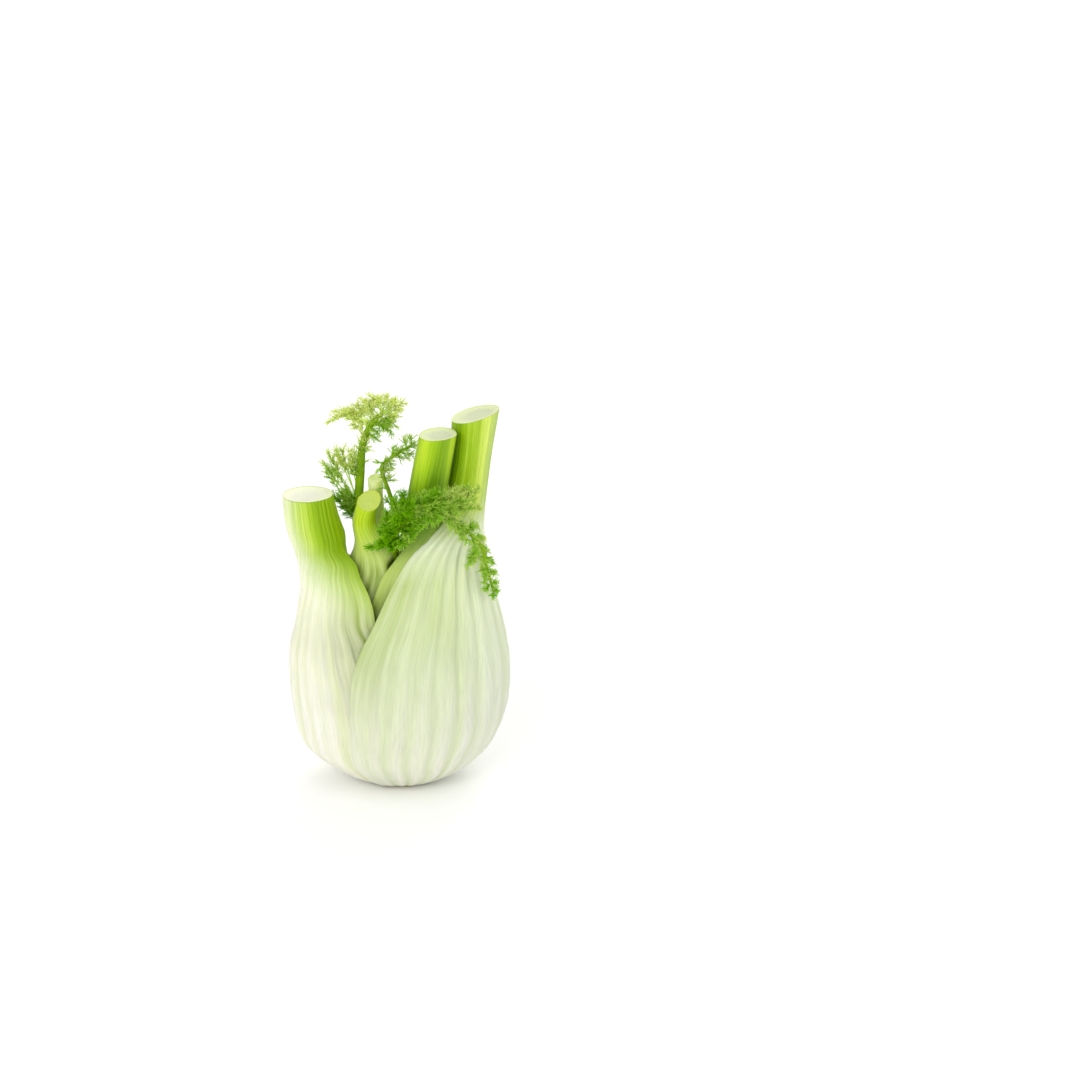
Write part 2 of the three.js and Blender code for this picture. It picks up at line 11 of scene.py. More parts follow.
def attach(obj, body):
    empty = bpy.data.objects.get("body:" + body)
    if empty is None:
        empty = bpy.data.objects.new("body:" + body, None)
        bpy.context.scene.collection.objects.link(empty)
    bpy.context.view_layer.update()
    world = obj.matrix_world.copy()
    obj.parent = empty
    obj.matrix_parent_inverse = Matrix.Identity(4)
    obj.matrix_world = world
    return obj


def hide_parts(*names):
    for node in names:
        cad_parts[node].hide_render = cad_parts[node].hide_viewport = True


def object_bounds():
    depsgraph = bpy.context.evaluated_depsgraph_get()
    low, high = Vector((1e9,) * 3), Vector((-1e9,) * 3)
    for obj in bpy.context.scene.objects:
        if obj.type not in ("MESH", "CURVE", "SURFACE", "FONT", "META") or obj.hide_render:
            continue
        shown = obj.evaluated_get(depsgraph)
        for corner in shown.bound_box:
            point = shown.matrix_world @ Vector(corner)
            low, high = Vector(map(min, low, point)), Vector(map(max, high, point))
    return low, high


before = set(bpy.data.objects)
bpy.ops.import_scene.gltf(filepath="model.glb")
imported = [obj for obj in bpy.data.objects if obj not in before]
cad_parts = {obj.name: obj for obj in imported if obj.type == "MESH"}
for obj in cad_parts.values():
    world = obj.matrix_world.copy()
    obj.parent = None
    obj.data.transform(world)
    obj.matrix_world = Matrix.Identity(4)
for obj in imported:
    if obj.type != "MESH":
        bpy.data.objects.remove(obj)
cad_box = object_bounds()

# ---------------------------------------------------------------- driving values, in millimetres

MM = 0.001

# These are as in the solids.
BASE_RADIUS = 15
BASE_HEIGHT = 15
DEPTH_RATIO = 0.8
BASE_DEPTH_RATIO = 0.92
ROUND_BELOW = 22
EDGE = 0.9
STALK_EDGE = 0.3
RIB_ALIKE = 0.35
TUCK_FROM = 70

SKIN_INSET = 0.12  # keeps the smooth skin within the faceted solids' outermost points
RING_STEP = 1.25  # between rings of points up a leaf base
GROOVE_SHARPNESS = 1.35  # above 1 the ridges are wider than the grooves between them
FINE_GROOVES = 3  # in each rib
FINE_GROOVE_DEPTH = 0.16  # as a share of the deepest furrow
FINE_GROOVE_WANDER = 9
GROOVES_END = 0.85  # where they begin to run out, as a share of the way to a leaf base's margin
STALK_RIBBING = 0.35  # depth of a furrow on a stalk, as a share of that on the bulb
FULL_RIBBING_SIZE = 24  # about half the width at which furrows have their full depth
LEAST_RIBBING = 0.15  # and their share of it at no width
SWELL = 0.4  # gentle unevenness of a leaf base
SWELL_END = 0.8
RIB_DRIFT = 0.24  # how far a groove wanders sideways, in ribs
LOW_SHADE = 0.7  # how much darker the foot of a stalk is, where it is shaded_below a height
FLUTE = 0.05  # how far a dark stripe dips into a stalk, as a share of its radius
MARGIN_FROM = 0.2  # where the colour of the margins, partly their own green and partly painted shade, sets in, as a share of the way to them
MARGIN_WAVER = 0.3
INNER_SIDE_LEAD = 3  # how much lower down the inner side of a leaf base turns green
CUT_RIM = [(0.05, 0.1), (0.25, 0.22)]  # rings round a cut's edge, each so far in and down
CUT_FACE_RINGS = 13  # and those within them, on the cut's slightly dished face
CUT_FACE_FROM = 0.7
CUT_DEPTH = 0.26
CUT_DISH = 0.5
CUT_MIDDLE_DEPTH = 0.8

STEM_SHARE = 0.96  # of a frond stem's solid radius
SPRAY_RADIUS = 0.38
RACHIS_RADIUS = 0.22  # of a needle's midrib
THREAD_RADIUS = 0.145
NEEDLE_SPACING = 3  # as in the solids, whose needles these repeat
NEEDLE_ANGLE = 46
BARE = 0.3
NEEDLE_CURL = 0.4  # of its length, at most
THREAD_SPACING = 0.6  # between threads along a needle
THREAD_ANGLES = (20, 44)  # degrees between a thread and its needle
THREAD_REACH = (0.36, 0.7)  # a thread's length as a share of its needle's
THREAD_CURL = 0.7
FINE_ANGLES = (16, 66)  # degrees between a fine needle and its spray
FUZZ_SPACING = 0.07  # between short needles along a frond's stem, in places of its table
FUZZ_ANGLES = (32, 62)
FUZZ_REACH = (0.8, 2.4)  # how far they stand out beyond the stem
STEM_LIGHT = 0.66  # how light a frond's stem is, beside 0 inside a spray and 1 at a thread's tip
STEM_PALE = 0.12  # and how pale, beside 0 for old leaf and leaf darkened with painted shade, and 1 for young

# The bulb at each height: its middle along X and half its width.
PROFILE = {
    0.8: (0.3, 17.8),
    4: (0.6, 24.6),
    9: (0.5, 32.4),
    15: (-0.6, 39.3),
    22: (-0.4, 43.2),
    31: (0.5, 45.6),
    41: (0.7, 47),
    51: (0.7, 47.4),
    61: (0.5, 46.6),
    70: (0.7, 44.6),
}


# ---------------------------------------------------------------- small mathematics


def mix(a, b, share):
    return a + (b - a) * share


def smooth(value, low, high):
    share = np.clip((value - low) / (high - low), 0, 1)
    return share * share * (3 - 2 * share)


def seeded(seed):
    """The same small generator as the solids draw from."""
    mask = 0xFFFFFFFF
    state = seed & mask

    def draw():
        nonlocal state
        state = (state + 0x6D2B79F5) & mask
        bits = (state ^ (state >> 15)) * (1 | state) & mask
        bits = (bits + ((bits ^ (bits >> 7)) * (61 | bits) & mask) & mask) ^ bits
        return (bits ^ (bits >> 14)) / 4294967296

    return draw


def along(stations, places):
    """Rows read off a table of stations at these places, by a smooth curve through them all."""
    last = len(stations) - 1
    k = np.clip(np.floor(places).astype(int), 0, last - 1)
    f = (places - k)[:, None]
    a, b, c, d = (stations[np.clip(k + i, 0, last)] for i in (-1, 0, 1, 2))
    into, out_of, rise = (c - a) / 2, (d - b) / 2, c - b
    return b + f * (into + f * (3 * rise - 2 * into - out_of + f * (into + out_of - 2 * rise)))


def uneven(seed, rows, columns, row_places, column_places):
    """Smooth random numbers from 0 to 1 over a grid, with as many knots as rows and columns."""
    knots = np.random.default_rng(seed).random((rows, columns))
    down = along(knots, row_places * (rows - 1))
    return np.clip(along(down.T, column_places * (columns - 1)).T, 0, 1)


# ---------------------------------------------------------------- meshes


def make_object(name, points, faces, attributes, materials, material_of=None):
    """A smooth-shaded mesh object, with its points given in millimetres."""
    mesh = bpy.data.meshes.new(name)
    mesh.from_pydata([tuple(p) for p in np.asarray(points) * MM], [], faces)
    mesh.polygons.foreach_set("use_smooth", [True] * len(mesh.polygons))
    if material_of is not None:
        mesh.polygons.foreach_set("material_index", material_of)
    for key, values in attributes.items():
        layer = mesh.attributes.new(key, "FLOAT", "POINT")
        layer.data.foreach_set("value", np.asarray(values, np.float32))
    for material in materials:
        mesh.materials.append(material)
    mesh.validate()
    made = bpy.data.objects.new(name, mesh)
    bpy.context.scene.collection.objects.link(made)
    return made


def stand_for(made, node, slot):
    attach(made, "root")
    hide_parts(node)


def ring_walls(count, rings, first=0):
    """Side faces between closed rings of equally many points, stored one after another."""
    faces = []
    for k in range(rings - 1):
        for i in range(count):
            a = first + k * count + i
            b = first + k * count + (i + 1) % count
            faces.append((a, b, b + count, a + count))
    return faces


# ---------------------------------------------------------------- leaf bases


def level(z, at, half, wrap, thick, tuck=0, stalk=0, turn=0, slope=(0, 0)):
    return (z, *at, *half, wrap, thick, tuck, stalk, turn, *slope)


def on_bulb(z, wrap, thick, tuck=0, inset=0):
    ratio = mix(BASE_DEPTH_RATIO, DEPTH_RATIO, smooth(z, 0, ROUND_BELOW))
    x, half = PROFILE[z]
    return level(z, (x, 0), (half - inset, half * ratio - inset), wrap, thick, tuck)


# Each leaf base has the stations of its solid. A streak is a stripe down the stalk, partly the stalk's own
# colour and partly painted light and shade of its ribs and of the side the light falls on: the direction it
# faces and its half width, in degrees, and how much lighter (above 0) or darker it is. A pale stripe in
# place of the green is a painted highlight along the stalk's edge. The green of the stalk runs out over the
# heights in green_from, and reaches green_lean lower on the side that faces green_side. The ribs grow
# shallow over the heights in calm_over, and the stalk's foot is darker with painted shade below those in
# shaded_below, where they are given.
OUTER_RIGHT = dict(
    node="leaf_outer_right",
    slot="flesh",
    face=-4,
    ribs=17,
    furrow=1.25,
    seed=11,
    columns=360,
    green_from=(109, 126),
    green_lean=2,
    green_side=180,
    stripes_and_shading=[(-135, 28, -0.55), (-50, 18, 0.8), (-10, 14, 0.2), (60, 20, -0.4), (130, 25, 0.3)],
    # a painted highlight along the stalk's right edge
    rim_highlights=[(-22, 28, 0.3)],
    stations=[
        on_bulb(0.8, 110, 3.4),
        on_bulb(4, 111, 4.6),
        on_bulb(9, 112, 5.5),
        on_bulb(15, 112, 6),
        on_bulb(22, 112, 6.4),
        on_bulb(31, 112, 6.8),
        on_bulb(41, 112, 7),
        on_bulb(51, 111, 7),
        on_bulb(61, 109, 6.8),
        on_bulb(70, 106, 6.6),
        level(79, (2.2, 0.3), (40.8, 33), 103, 6.6),
        level(88, (5.2, 0.6), (35.6, 29.5), 102, 7, turn=-1),
        level(98, (10.6, 1.2), (28.2, 25), 105, 8, turn=-2),
        level(106, (15.4, 1.9), (22.4, 20.6), 106, 10.5, stalk=0.15, turn=-3),
        level(113, (20.4, 2.7), (17, 16.4), 101, 15.5, stalk=0.5, turn=-4),
        level(119, (24.4, 3.4), (13.2, 12.8), 95, 20, stalk=0.85, turn=-4),
        level(126, (27.7, 3.9), (10.5, 10.3), 90, 19.8, stalk=1, turn=-4, slope=(-0.08, 0)),
        level(143, (30.7, 4.5), (9.8, 9.5), 90, 18.6, stalk=1, turn=-4, slope=(0.1, 0)),
        level(160.5, (32.4, 5), (11.3, 9.8), 90, 20.8, stalk=1, turn=-4, slope=(0.25, 0.02)),
    ],
)

OUTER_LEFT = dict(
    node="leaf_outer_left",
    slot="flesh",
    face=178,
    ribs=17,
    furrow=1.2,
    seed=23,
    columns=360,
    green_from=(78, 121),
    green_lean=13,
    green_side=-30,
    stripes_and_shading=[(-160, 16, 0.5), (-104, 20, 0.35), (-58, 20, -0.38)]
    + [(-18, 14, 0.05), (60, 24, -0.35), (130, 24, 0.3)],
    # a painted highlight along the stalk's left edge
    rim_highlights=[(-166, 40, 1)],
    calm_over=(66, 94),
    stations=[
        on_bulb(0.8, 102, 3.4, 1.5),
        on_bulb(4, 104, 4.6, 3),
        on_bulb(9, 107, 5.5, 4.2),
        on_bulb(15, 107, 6, 4.8),
        on_bulb(22, 107, 6.4, 5),
        on_bulb(31, 106, 6.8, 5.2),
        on_bulb(41, 104, 7, 5.3),
        on_bulb(51, 101, 7, 5.3),
        on_bulb(61, 96, 7, 5),
        on_bulb(70, 90, 7, 4),
        level(79, (-2.8, -0.4), (39.6, 31.6), 82.5, 7.4, tuck=2, turn=3),
        level(87, (-9.2, -1.2), (31.9, 27.6), 87, 8.8, turn=6),
        level(93, (-15.4, -2), (26, 24.2), 88, 13, turn=14),
        level(98, (-21.4, -2.8), (20.4, 20), 91, 19, stalk=0.2, turn=22),
        level(102, (-26.6, -3.5), (16.2, 16.2), 95, 22, stalk=0.5, turn=36),
        level(106, (-31.4, -4.3), (12.4, 13.2), 96, 24, stalk=0.8, turn=50),
        level(111, (-33, -4.8), (11.9, 12.2), 90, 23.8, stalk=1, turn=60, slope=(0.1, 0.03)),
        level(119, (-35.1, -5.4), (11.4, 11.7), 90, 22.9, stalk=1, turn=64, slope=(0.12, 0.03)),
        level(129.3, (-36.5, -6.2), (10.7, 10.8), 90, 21.5, stalk=1, turn=66, slope=(0.02, 0)),
    ],
)

INNER_RIGHT = dict(
    node="leaf_inner_right",
    slot="inner_flesh",
    face=-14,
    ribs=9,
    furrow=0.7,
    seed=37,
    columns=240,
    green_from=(98, 120),
    green_lean=4,
    green_side=180,
    stripes_and_shading=[(-124, 24, 0.55), (-70, 20, -0.5), (-34, 12, 0.4)]
    + [(20, 22, -0.3), (100, 25, 0.3), (160, 20, -0.2)],
    shaded_below=(120, 150),
    stations=[
        level(5, (0, 0), (17.5, 15), 100, 9),
        on_bulb(9, 104, 14, 0, 8.5),
        on_bulb(22, 106, 22, 0, 8.5),
        on_bulb(41, 108, 28, 0, 8.5),
        on_bulb(61, 108, 28, 0, 8.3),
        level(75, (1, 0), (36, 28), 105, 26),
        level(85, (2, -0.6), (31.5, 25.5), 101, 22),
        level(92, (3.2, -1.4), (27, 22.6), 101, 19.5),
        level(98, (5, -2.2), (22, 19.4), 104, 18, stalk=0.1),
        level(104, (7.6, -3.2), (16.4, 15.4), 104, 18, stalk=0.4),
        level(110, (9.4, -4.2), (11.8, 11.6), 98, 19.4, stalk=0.8),
        level(117, (10.8, -4.8), (9.6, 9.6), 90, 18.2, stalk=1, slope=(-0.1, 0)),
        level(135, (13.8, -5.4), (8.9, 9), 90, 17, stalk=1, slope=(-0.05, 0)),
        level(155.5, (17.6, -6), (8.6, 8.7), 90, 16.4, stalk=1, slope=(0.04, 0.02)),
    ],
)

INNER_LEFT = dict(
    node="leaf_inner_left",
    slot="inner_flesh",
    face=176,
    ribs=8,
    furrow=0.4,
    seed=41,
    columns=200,
    green_from=(100, 116),
    green_lean=0,
    green_side=0,
    stripes_and_shading=[(-140, 30, 0.5), (-50, 26, -0.12), (20, 20, -0.2), (100, 30, 0.2)],
    stations=[
        level(5, (0, 0), (17, 14.5), 92, 12),
        on_bulb(9, 98, 18, 1, 8.5),
        on_bulb(22, 100, 27, 1.5, 8.5),
        on_bulb(41, 100, 31, 1.5, 8.5),
        on_bulb(61, 100, 30, 1.5, 8.3),
        level(75, (0, 0), (35, 27.5), 94, 24, tuck=1.5, turn=4),
        level(85, (-3.6, -1), (27, 23.4), 89, 20, tuck=1, turn=9),
        level(92, (-5.4, -2.2), (20.8, 18.8), 88, 18, stalk=0.2, turn=14),
        level(98, (-6, -3.2), (15.6, 14.2), 90, 19, stalk=0.5, turn=16),
        level(103, (-6.6, -2.8), (12.4, 11.8), 92, 20, stalk=0.9, turn=10),
        level(107.5, (-8.4, -0.6), (9.6, 9.2), 92, 17.2, stalk=1, turn=3),
        level(112, (-11.7, 2), (7.1, 6.4), 90, 12.2, stalk=1),
        level(116, (-12.4, 2.9), (6.2, 5.7), 90, 11.1, stalk=1),
        level(123.2, (-11, 3.2), (5.8, 5.8), 90, 10.8, stalk=1, slope=(0.1, 0.5)),
    ],
)

HEART = dict(
    node="leaf_heart",
    slot="inner_flesh",
    face=90,
    ribs=6,
    furrow=0,
    seed=53,
    columns=120,
    green_from=(60, 84),
    green_lean=0,
    green_side=0,
    stripes_and_shading=[(-120, 30, 0.5), (-40, 26, -0.3)],
    stations=[
        level(62, (-1, 3), (7, 6.5), 90, 12, stalk=1),
        level(78, (-1.5, 5), (7.2, 6.6), 90, 12.2, stalk=1),
        level(89, (-2, 8), (6.6, 6.2), 90, 11.6, stalk=1),
        level(98.5, (-3.4, 11), (5.7, 5.6), 90, 10.4, stalk=1),
        level(106, (-6, 12.2), (4.7, 4.6), 90, 8.8, stalk=1),
        level(113, (-8.2, 12.6), (3.6, 3.6), 90, 6.6, stalk=1),
        level(121, (-8.9, 12.8), (3.1, 3.1), 90, 5.6, stalk=1),
        level(129.5, (-9.2, 12.8), (3.3, 3.3), 90, 6, stalk=1, slope=(0.1, 0.4)),
    ],
)


def furrow_depths(leaf):
    """Each furrow's depth as a share of the deepest, drawn as in the solids."""
    draw = seeded(leaf["seed"])
    return np.array([mix(RIB_ALIKE, 1, draw()) for _ in range(leaf["ribs"])])


def ring_places(heights):
    """Places up the stations about RING_STEP apart in height."""
    places = []
    for k, rise in enumerate(np.diff(heights)):
        count = max(2, round(rise / RING_STEP))
        places.extend(k + np.arange(count) / count)
    return np.array(places + [len(heights) - 1.0])


def grooves(leaf, across, up):
    """How deep in a groove each point of the skin lies, from 0 on a ridge to 1, ring by ring."""
    depths = furrow_depths(leaf)
    ribs = len(depths)
    drift = uneven(leaf["seed"] + 1, 9, 2 * ribs, up, (across + 1) / 2) - 0.5
    place = np.clip((across[None, :] + 1) / 2 * ribs + RIB_DRIFT * drift, 0, ribs - 1e-6)
    shape = (np.sin(np.pi * place) ** 2) ** GROOVE_SHARPNESS
    minor = FINE_GROOVE_DEPTH * np.sin(FINE_GROOVES * np.pi * place + FINE_GROOVE_WANDER * drift) ** 2
    fade = 1 - smooth(np.abs(across), GROOVES_END, 1)
    return (depths[place.astype(int)] * shape * (1 - minor) + minor) * fade


def stripes(around, rows):
    """The sum of soft stripes down a stalk, each by the way it faces, its half width and strength."""
    total = np.zeros_like(around)
    for facing, width, strength in rows:
        off = (around - facing + 180) % 360 - 180
        total += strength * np.exp(-((off / width) ** 2))
    return total


def leaf_rings(leaf):
    """The points of a leaf base ring by ring, outer side first, and what its materials read there."""
    stations = np.array(leaf["stations"], float)
    places = ring_places(stations[:, 0])
    columns = (along(stations, places)[:, i : i + 1] for i in range(stations.shape[1]))
    z, x, y, half_x, half_y, wrap, thick, tuck, stalk, turn, slope_x, slope_y = columns
    turned = np.clip(stalk, 0, 1)
    face = np.radians(leaf["face"] + turn)
    edge = mix(EDGE, STALK_EDGE, turned)
    size = np.minimum(half_x, half_y)
    lateral = np.radians(wrap) - edge / 2 / size
    up = (places / places[-1])[:, None]

    def rim(across):
        angle = face + across * lateral
        out = np.stack([np.cos(angle) / half_x, np.sin(angle) / half_y])
        out /= np.linalg.norm(out, axis=0)
        dive = tuck * smooth(np.abs(across) * wrap, TUCK_FROM, wrap) * (1 - turned) + SKIN_INSET
        return np.stack([half_x * np.cos(angle), half_y * np.sin(angle)]) - out * dive, out

    outer_across = np.linspace(-1, 1, leaf["columns"] + 1)
    groove = grooves(leaf, outer_across, up[:, 0])
    swell = uneven(leaf["seed"] + 2, 8, 14, up[:, 0], (outer_across + 1) / 2)
    calm = np.maximum(turned, smooth(z, *leaf.get("calm_over", (200, 201))))
    ribbing = np.minimum(1, size / FULL_RIBBING_SIZE + LEAST_RIBBING)
    deep = leaf["furrow"] * ribbing * mix(1, STALK_RIBBING, calm)
    fade = 1 - smooth(np.abs(outer_across), SWELL_END, 1)
    outer, out = rim(outer_across)
    outer = outer - out * (groove * deep + SWELL * swell * fade)

    inner_across = np.linspace(1, -1, leaf["columns"] // 3 + 1)
    inner, out = rim(inner_across)
    inward = out * (1 - turned) + np.stack([np.cos(face), np.sin(face)]) * turned
    inward /= np.linalg.norm(inward, axis=0)
    inner = inner - inward * ((thick - EDGE) * np.cos(np.pi / 2 * inner_across) + edge)
    inner_groove = grooves(leaf, inner_across, up[:, 0]) * turned
    inner = inner * (1 - inner_groove * deep / np.maximum(np.linalg.norm(inner, axis=0), 2))

    ring = np.concatenate([outer, inner], axis=2)
    around = np.degrees(np.arctan2(ring[1], ring[0]))
    # Stripes down the stalk, partly its own colour and partly painted light and shade, with painted shade at
    # its foot where shaded_below is given.
    shade_and_tone = 0.5 + 0.5 * stripes(around, leaf["stripes_and_shading"]) * turned**3
    shade_and_tone = shade_and_tone - LOW_SHADE * (1 - smooth(z, *leaf.get("shaded_below", (-2, -1))))
    ring = ring * (1 - FLUTE * (0.5 - shade_and_tone) * turned * (shade_and_tone < 0.5))
    points = np.stack([x + ring[0], y + ring[1], z + slope_x * ring[0] + slope_y * ring[1]], axis=2)
    across = np.concatenate([outer_across, inner_across])
    side = np.concatenate([np.zeros_like(outer_across), np.ones_like(inner_across)])
    low, high = leaf["green_from"]
    lean = leaf["green_lean"] * np.cos(np.radians(around - leaf["green_side"]))
    green = smooth(points[..., 2] + lean + INNER_SIDE_LEAD * side * (1 - turned), low, high)
    # Painted highlights along a stalk's edge make it pale there instead of green.
    green = green * (1 - np.clip(stripes(around, leaf.get("rim_highlights", [])), 0, 1) * turned)
    spread = np.ones_like(around)
    waver = MARGIN_WAVER * (uneven(leaf["seed"] + 3, 6, 12, up[:, 0], (across + 1) / 2) - 0.5)
    margin = smooth(np.abs(across) + waver, MARGIN_FROM, 1.0)
    return points, dict(
        across=across * spread * leaf["ribs"],
        up=points[..., 2],
        groove=np.concatenate([groove, inner_groove], axis=1),
        margin=margin,
        shade_and_tone=shade_and_tone,
        green=green,
        inside=side * spread * (1 - turned),
        radial=spread,
    )


def build_leaf(leaf, skin, cut):
    """A leaf base's skin from the bottom up, closed at the top by the stalk's cut face."""
    points, facts = leaf_rings(leaf)
    rings, count = points.shape[:2]
    rim, middle = points[-1], points[-1].mean(axis=0)
    radius = np.linalg.norm(rim - middle, axis=1).mean()
    rim_shares = [inward / radius for inward, _ in CUT_RIM]
    face_shares = np.linspace(CUT_FACE_FROM / radius, 1, CUT_FACE_RINGS + 1)[:-1]
    shares = np.concatenate([rim_shares, face_shares])
    sinks = [down for _, down in CUT_RIM]
    sinks += [CUT_DEPTH + CUT_DISH * smooth(share, 0, 0.8) for share in face_shares]
    face = [rim + (middle - rim) * share - [0, 0, sink] for share, sink in zip(shares, sinks)]
    face_points = np.concatenate(face + [[middle - [0, 0, CUT_MIDDLE_DEPTH]]])
    total = rings + len(face)
    faces = [tuple(range(count))[::-1]] + ring_walls(count, total)
    last = (total - 1) * count
    tip = total * count
    faces += [(last + i, last + (i + 1) % count, tip) for i in range(count)]
    material_of = [0] * (1 + rings * count) + [1] * (len(face) * count)
    attributes = {}
    for key, values in facts.items():
        if key == "radial":
            more = np.repeat(1 - shares, count)
            attributes[key] = np.concatenate([values.ravel(), more, [0]])
        else:
            ends = np.tile(values[-1], len(face))
            attributes[key] = np.concatenate([values.ravel(), ends, [values[-1].mean()]])
    everything = np.concatenate([points.reshape(-1, 3), face_points])
    made = make_object(leaf["node"] + "_fine", everything, faces, attributes, [skin, cut], material_of)
    stand_for(made, leaf["node"], leaf["slot"])
    return made


# ---------------------------------------------------------------- root end


# The stem's side from the root end up: how far each ring stands out past the root end, and its height.
ROOT_SIDE = [(-0.6, 0.05), (0.1, 0.5), (0.8, 1.2), (0.4, 4), (-1.5, 7.5)]
ROOT_SIDE += [(-4, BASE_HEIGHT * 0.75), (-9, BASE_HEIGHT * 0.92)]
ROOT_WAVER = 0.035  # as a share of its radius
ROOT_SIDES = 120
ROOT_FLAT_RINGS = 15


def build_root_end(material):
    """The stem's underside, cut across: a low plug, a little uneven round its edge."""
    count = ROOT_SIDES
    angle = np.linspace(0, 2 * np.pi, count, endpoint=False)
    waver = 1 - ROOT_WAVER * uneven(71, 2, 13, np.array([0.0]), (1 - np.cos(angle)) / 2)[0]
    flat = [(radius, 0.0) for radius in np.linspace(1, BASE_RADIUS - 1, ROOT_FLAT_RINGS)]
    side = [(BASE_RADIUS + out, z) for out, z in ROOT_SIDE]
    rings = []
    for radius, z in flat + side:
        r = radius * waver
        rings.append(np.stack([r * np.cos(angle), r * np.sin(angle), np.full(count, float(z))], axis=1))
    points = np.concatenate(rings + [[[0, 0, 0]], [[0, 0, BASE_HEIGHT - 0.1]]])
    total = len(rings)
    bottom, top = total * count, total * count + 1
    faces = ring_walls(count, total)
    faces += [((i + 1) % count, i, bottom) for i in range(count)]
    last = (total - 1) * count
    faces += [(last + i, last + (i + 1) % count, top) for i in range(count)]
    radial = np.hypot(points[:, 0], points[:, 1]) / BASE_RADIUS
    made = make_object("stem_base_fine", points, faces, dict(radial=radial), [material])
    stand_for(made, "stem_base", "root_end")


# ---------------------------------------------------------------- fronds

FROND_TALL = dict(
    node="frond_tall",
    seed=101,
    fine_spacing=0.36,
    fuzz_from=5,
    stem=[
        (-5, 8, 86, 2.1),
        (-8, 11.6, 96, 2),
        (-12.2, 12.4, 106, 1.9),
        (-16, 11.8, 115, 1.8),
        (-16.1, 11, 122.5, 2),
        (-15.5, 10.4, 130, 1.95),
        (-14.9, 9.8, 137, 1.8),
        (-14.4, 9.4, 143.5, 1.65),
        (-13.2, 9, 148.5, 1.5),
        (-11.3, 8.4, 153.3, 1.35),
        (-8.6, 8, 157.2, 1.2),
        (-5.5, 7.5, 160, 0.8),
    ],
    sprays=[
        (11, (-10.5, 8, 167.5), 1, 4.5),
        (11, (-7, 5, 168), 1, 4.5),
        (11, (-3.5, 9, 167), 1, 4.5),
        (11, (0.5, 5, 167), 1, 4.5),
        (11, (3.5, 8, 164.5), 1, 4.5),
        (11, (2, 5, 162), 1, 4.5),
        (11, (1, 10, 158.5), 0, 4),
        (10.6, (-14, 8, 165.5), 0, 5),
        (10.4, (0, 7, 155), 1, 5),
        (10.4, (-2, 5, 156), 1, 4.5),
        (10.2, (-12, 5, 165), 0, 5),
        (10, (-2, 10, 150.5), 2, 4.5),
        (10, (-4.5, 4, 155), 1, 4.5),
        (9.8, (-16.5, 11, 163), 0, 5),
        (9.4, (-4, 6.5, 153.5), 1, 4.5),
        (9.4, (-20.5, 9, 161), 4, 5),
        (9.4, (-29, 8, 155.5), 8, 4.5),
        (9.2, (-25.5, 7, 160.5), 5, 5),
        (9.2, (-7.5, 5, 152.5), 0, 4.5),
        (9, (-19.5, 12, 156.5), 2, 4.5),
        (8.6, (-8, 11, 147.5), 0, 4),
        (8.4, (-17.5, 9, 155), 1, 4.5),
        (7, (-12, 8, 144.5), 1, 4),
        (5, (-20, 9, 135.5), 0, 4.5),
        (4.2, (-18.5, 13, 141), 0, 4.5, 0.6),
        (4, (-20, 8.5, 144.5), -1, 4.5, 0.6),
        (3.6, (-26, 10, 144.5), 1, 5, 0.6),
        (3.6, (-26.5, 9, 136), -2, 4.5, 0.65),
        (3.4, (-22, 9, 126.5), 0, 5),
        (3.4, (-29.5, 13, 141.5), 0, 5, 0.65),
        (3.2, (-31, 10, 138.5), -2, 5, 0.65),
        (3.2, (-23.5, 14, 143.5), 0, 5, 0.65),
        (3.2, (-21, 9.5, 125), 0, 4.5),
        (3, (-30.5, 13, 133.5), -2, 4.5, 0.7),
        (3, (-21, 14, 124.5), 0, 4.5),
        (2.8, (-27, 11, 123), -2, 5),
        (2.8, (-24, 12, 124), -1, 5),
        (2.6, (-25.5, 13, 121), 0, 5),
        (2.4, (-24, 9, 124), 0, 5),
        (2.2, (-23, 13, 117), 0, 4.5),
    ],
)

FROND_BEHIND = dict(
    node="frond_behind",
    seed=202,
    fine_spacing=0.4,
    fuzz_from=4.5,
    stem=[
        (0, 5, 88, 1.19),
        (-0.5, 5.5, 98, 1.15),
        (-0.5, 6, 108, 1.1),
        (-1, 6.5, 117, 1.02),
        (-3, 7, 125, 0.94),
        (-5.2, 7.6, 131.5, 0.85),
        (-6.2, 8, 136.3, 0.81),
        (-3.3, 8.5, 139.2, 0.77),
        (1.1, 9, 142.6, 0.68),
        (6, 9.5, 145, 0.59),
    ],
    sprays=[
        (9, (6.5, 9.5, 148.5), 0, 4.5),
        (8.6, (3, 11, 147), 0, 4),
        (8.4, (9, 12, 145), 0, 4.5),
        (8, (6.5, 9, 141.5), 0, 4.5),
        (7.6, (1.5, 12, 139), 0, 4),
        (7.2, (-1, 11, 144.5), 0, 3.5),
        (7, (-2, 9, 136), 0, 4),
        (6.6, (-8, 8, 138.5), 0, 3.5),
        (6, (-9, 8, 134), 0, 4),
        (5.4, (-4, 13, 133.5), 1, 4),
        (4.6, (-2.5, 10.5, 130.5), 1, 4),
        (4.2, (-7.5, 10, 126), 1, 4),
        (3.6, (1, 9, 126), 1, 4.5),
        (3.2, (-4.5, 10, 120.5), 1, 4),
    ],
)

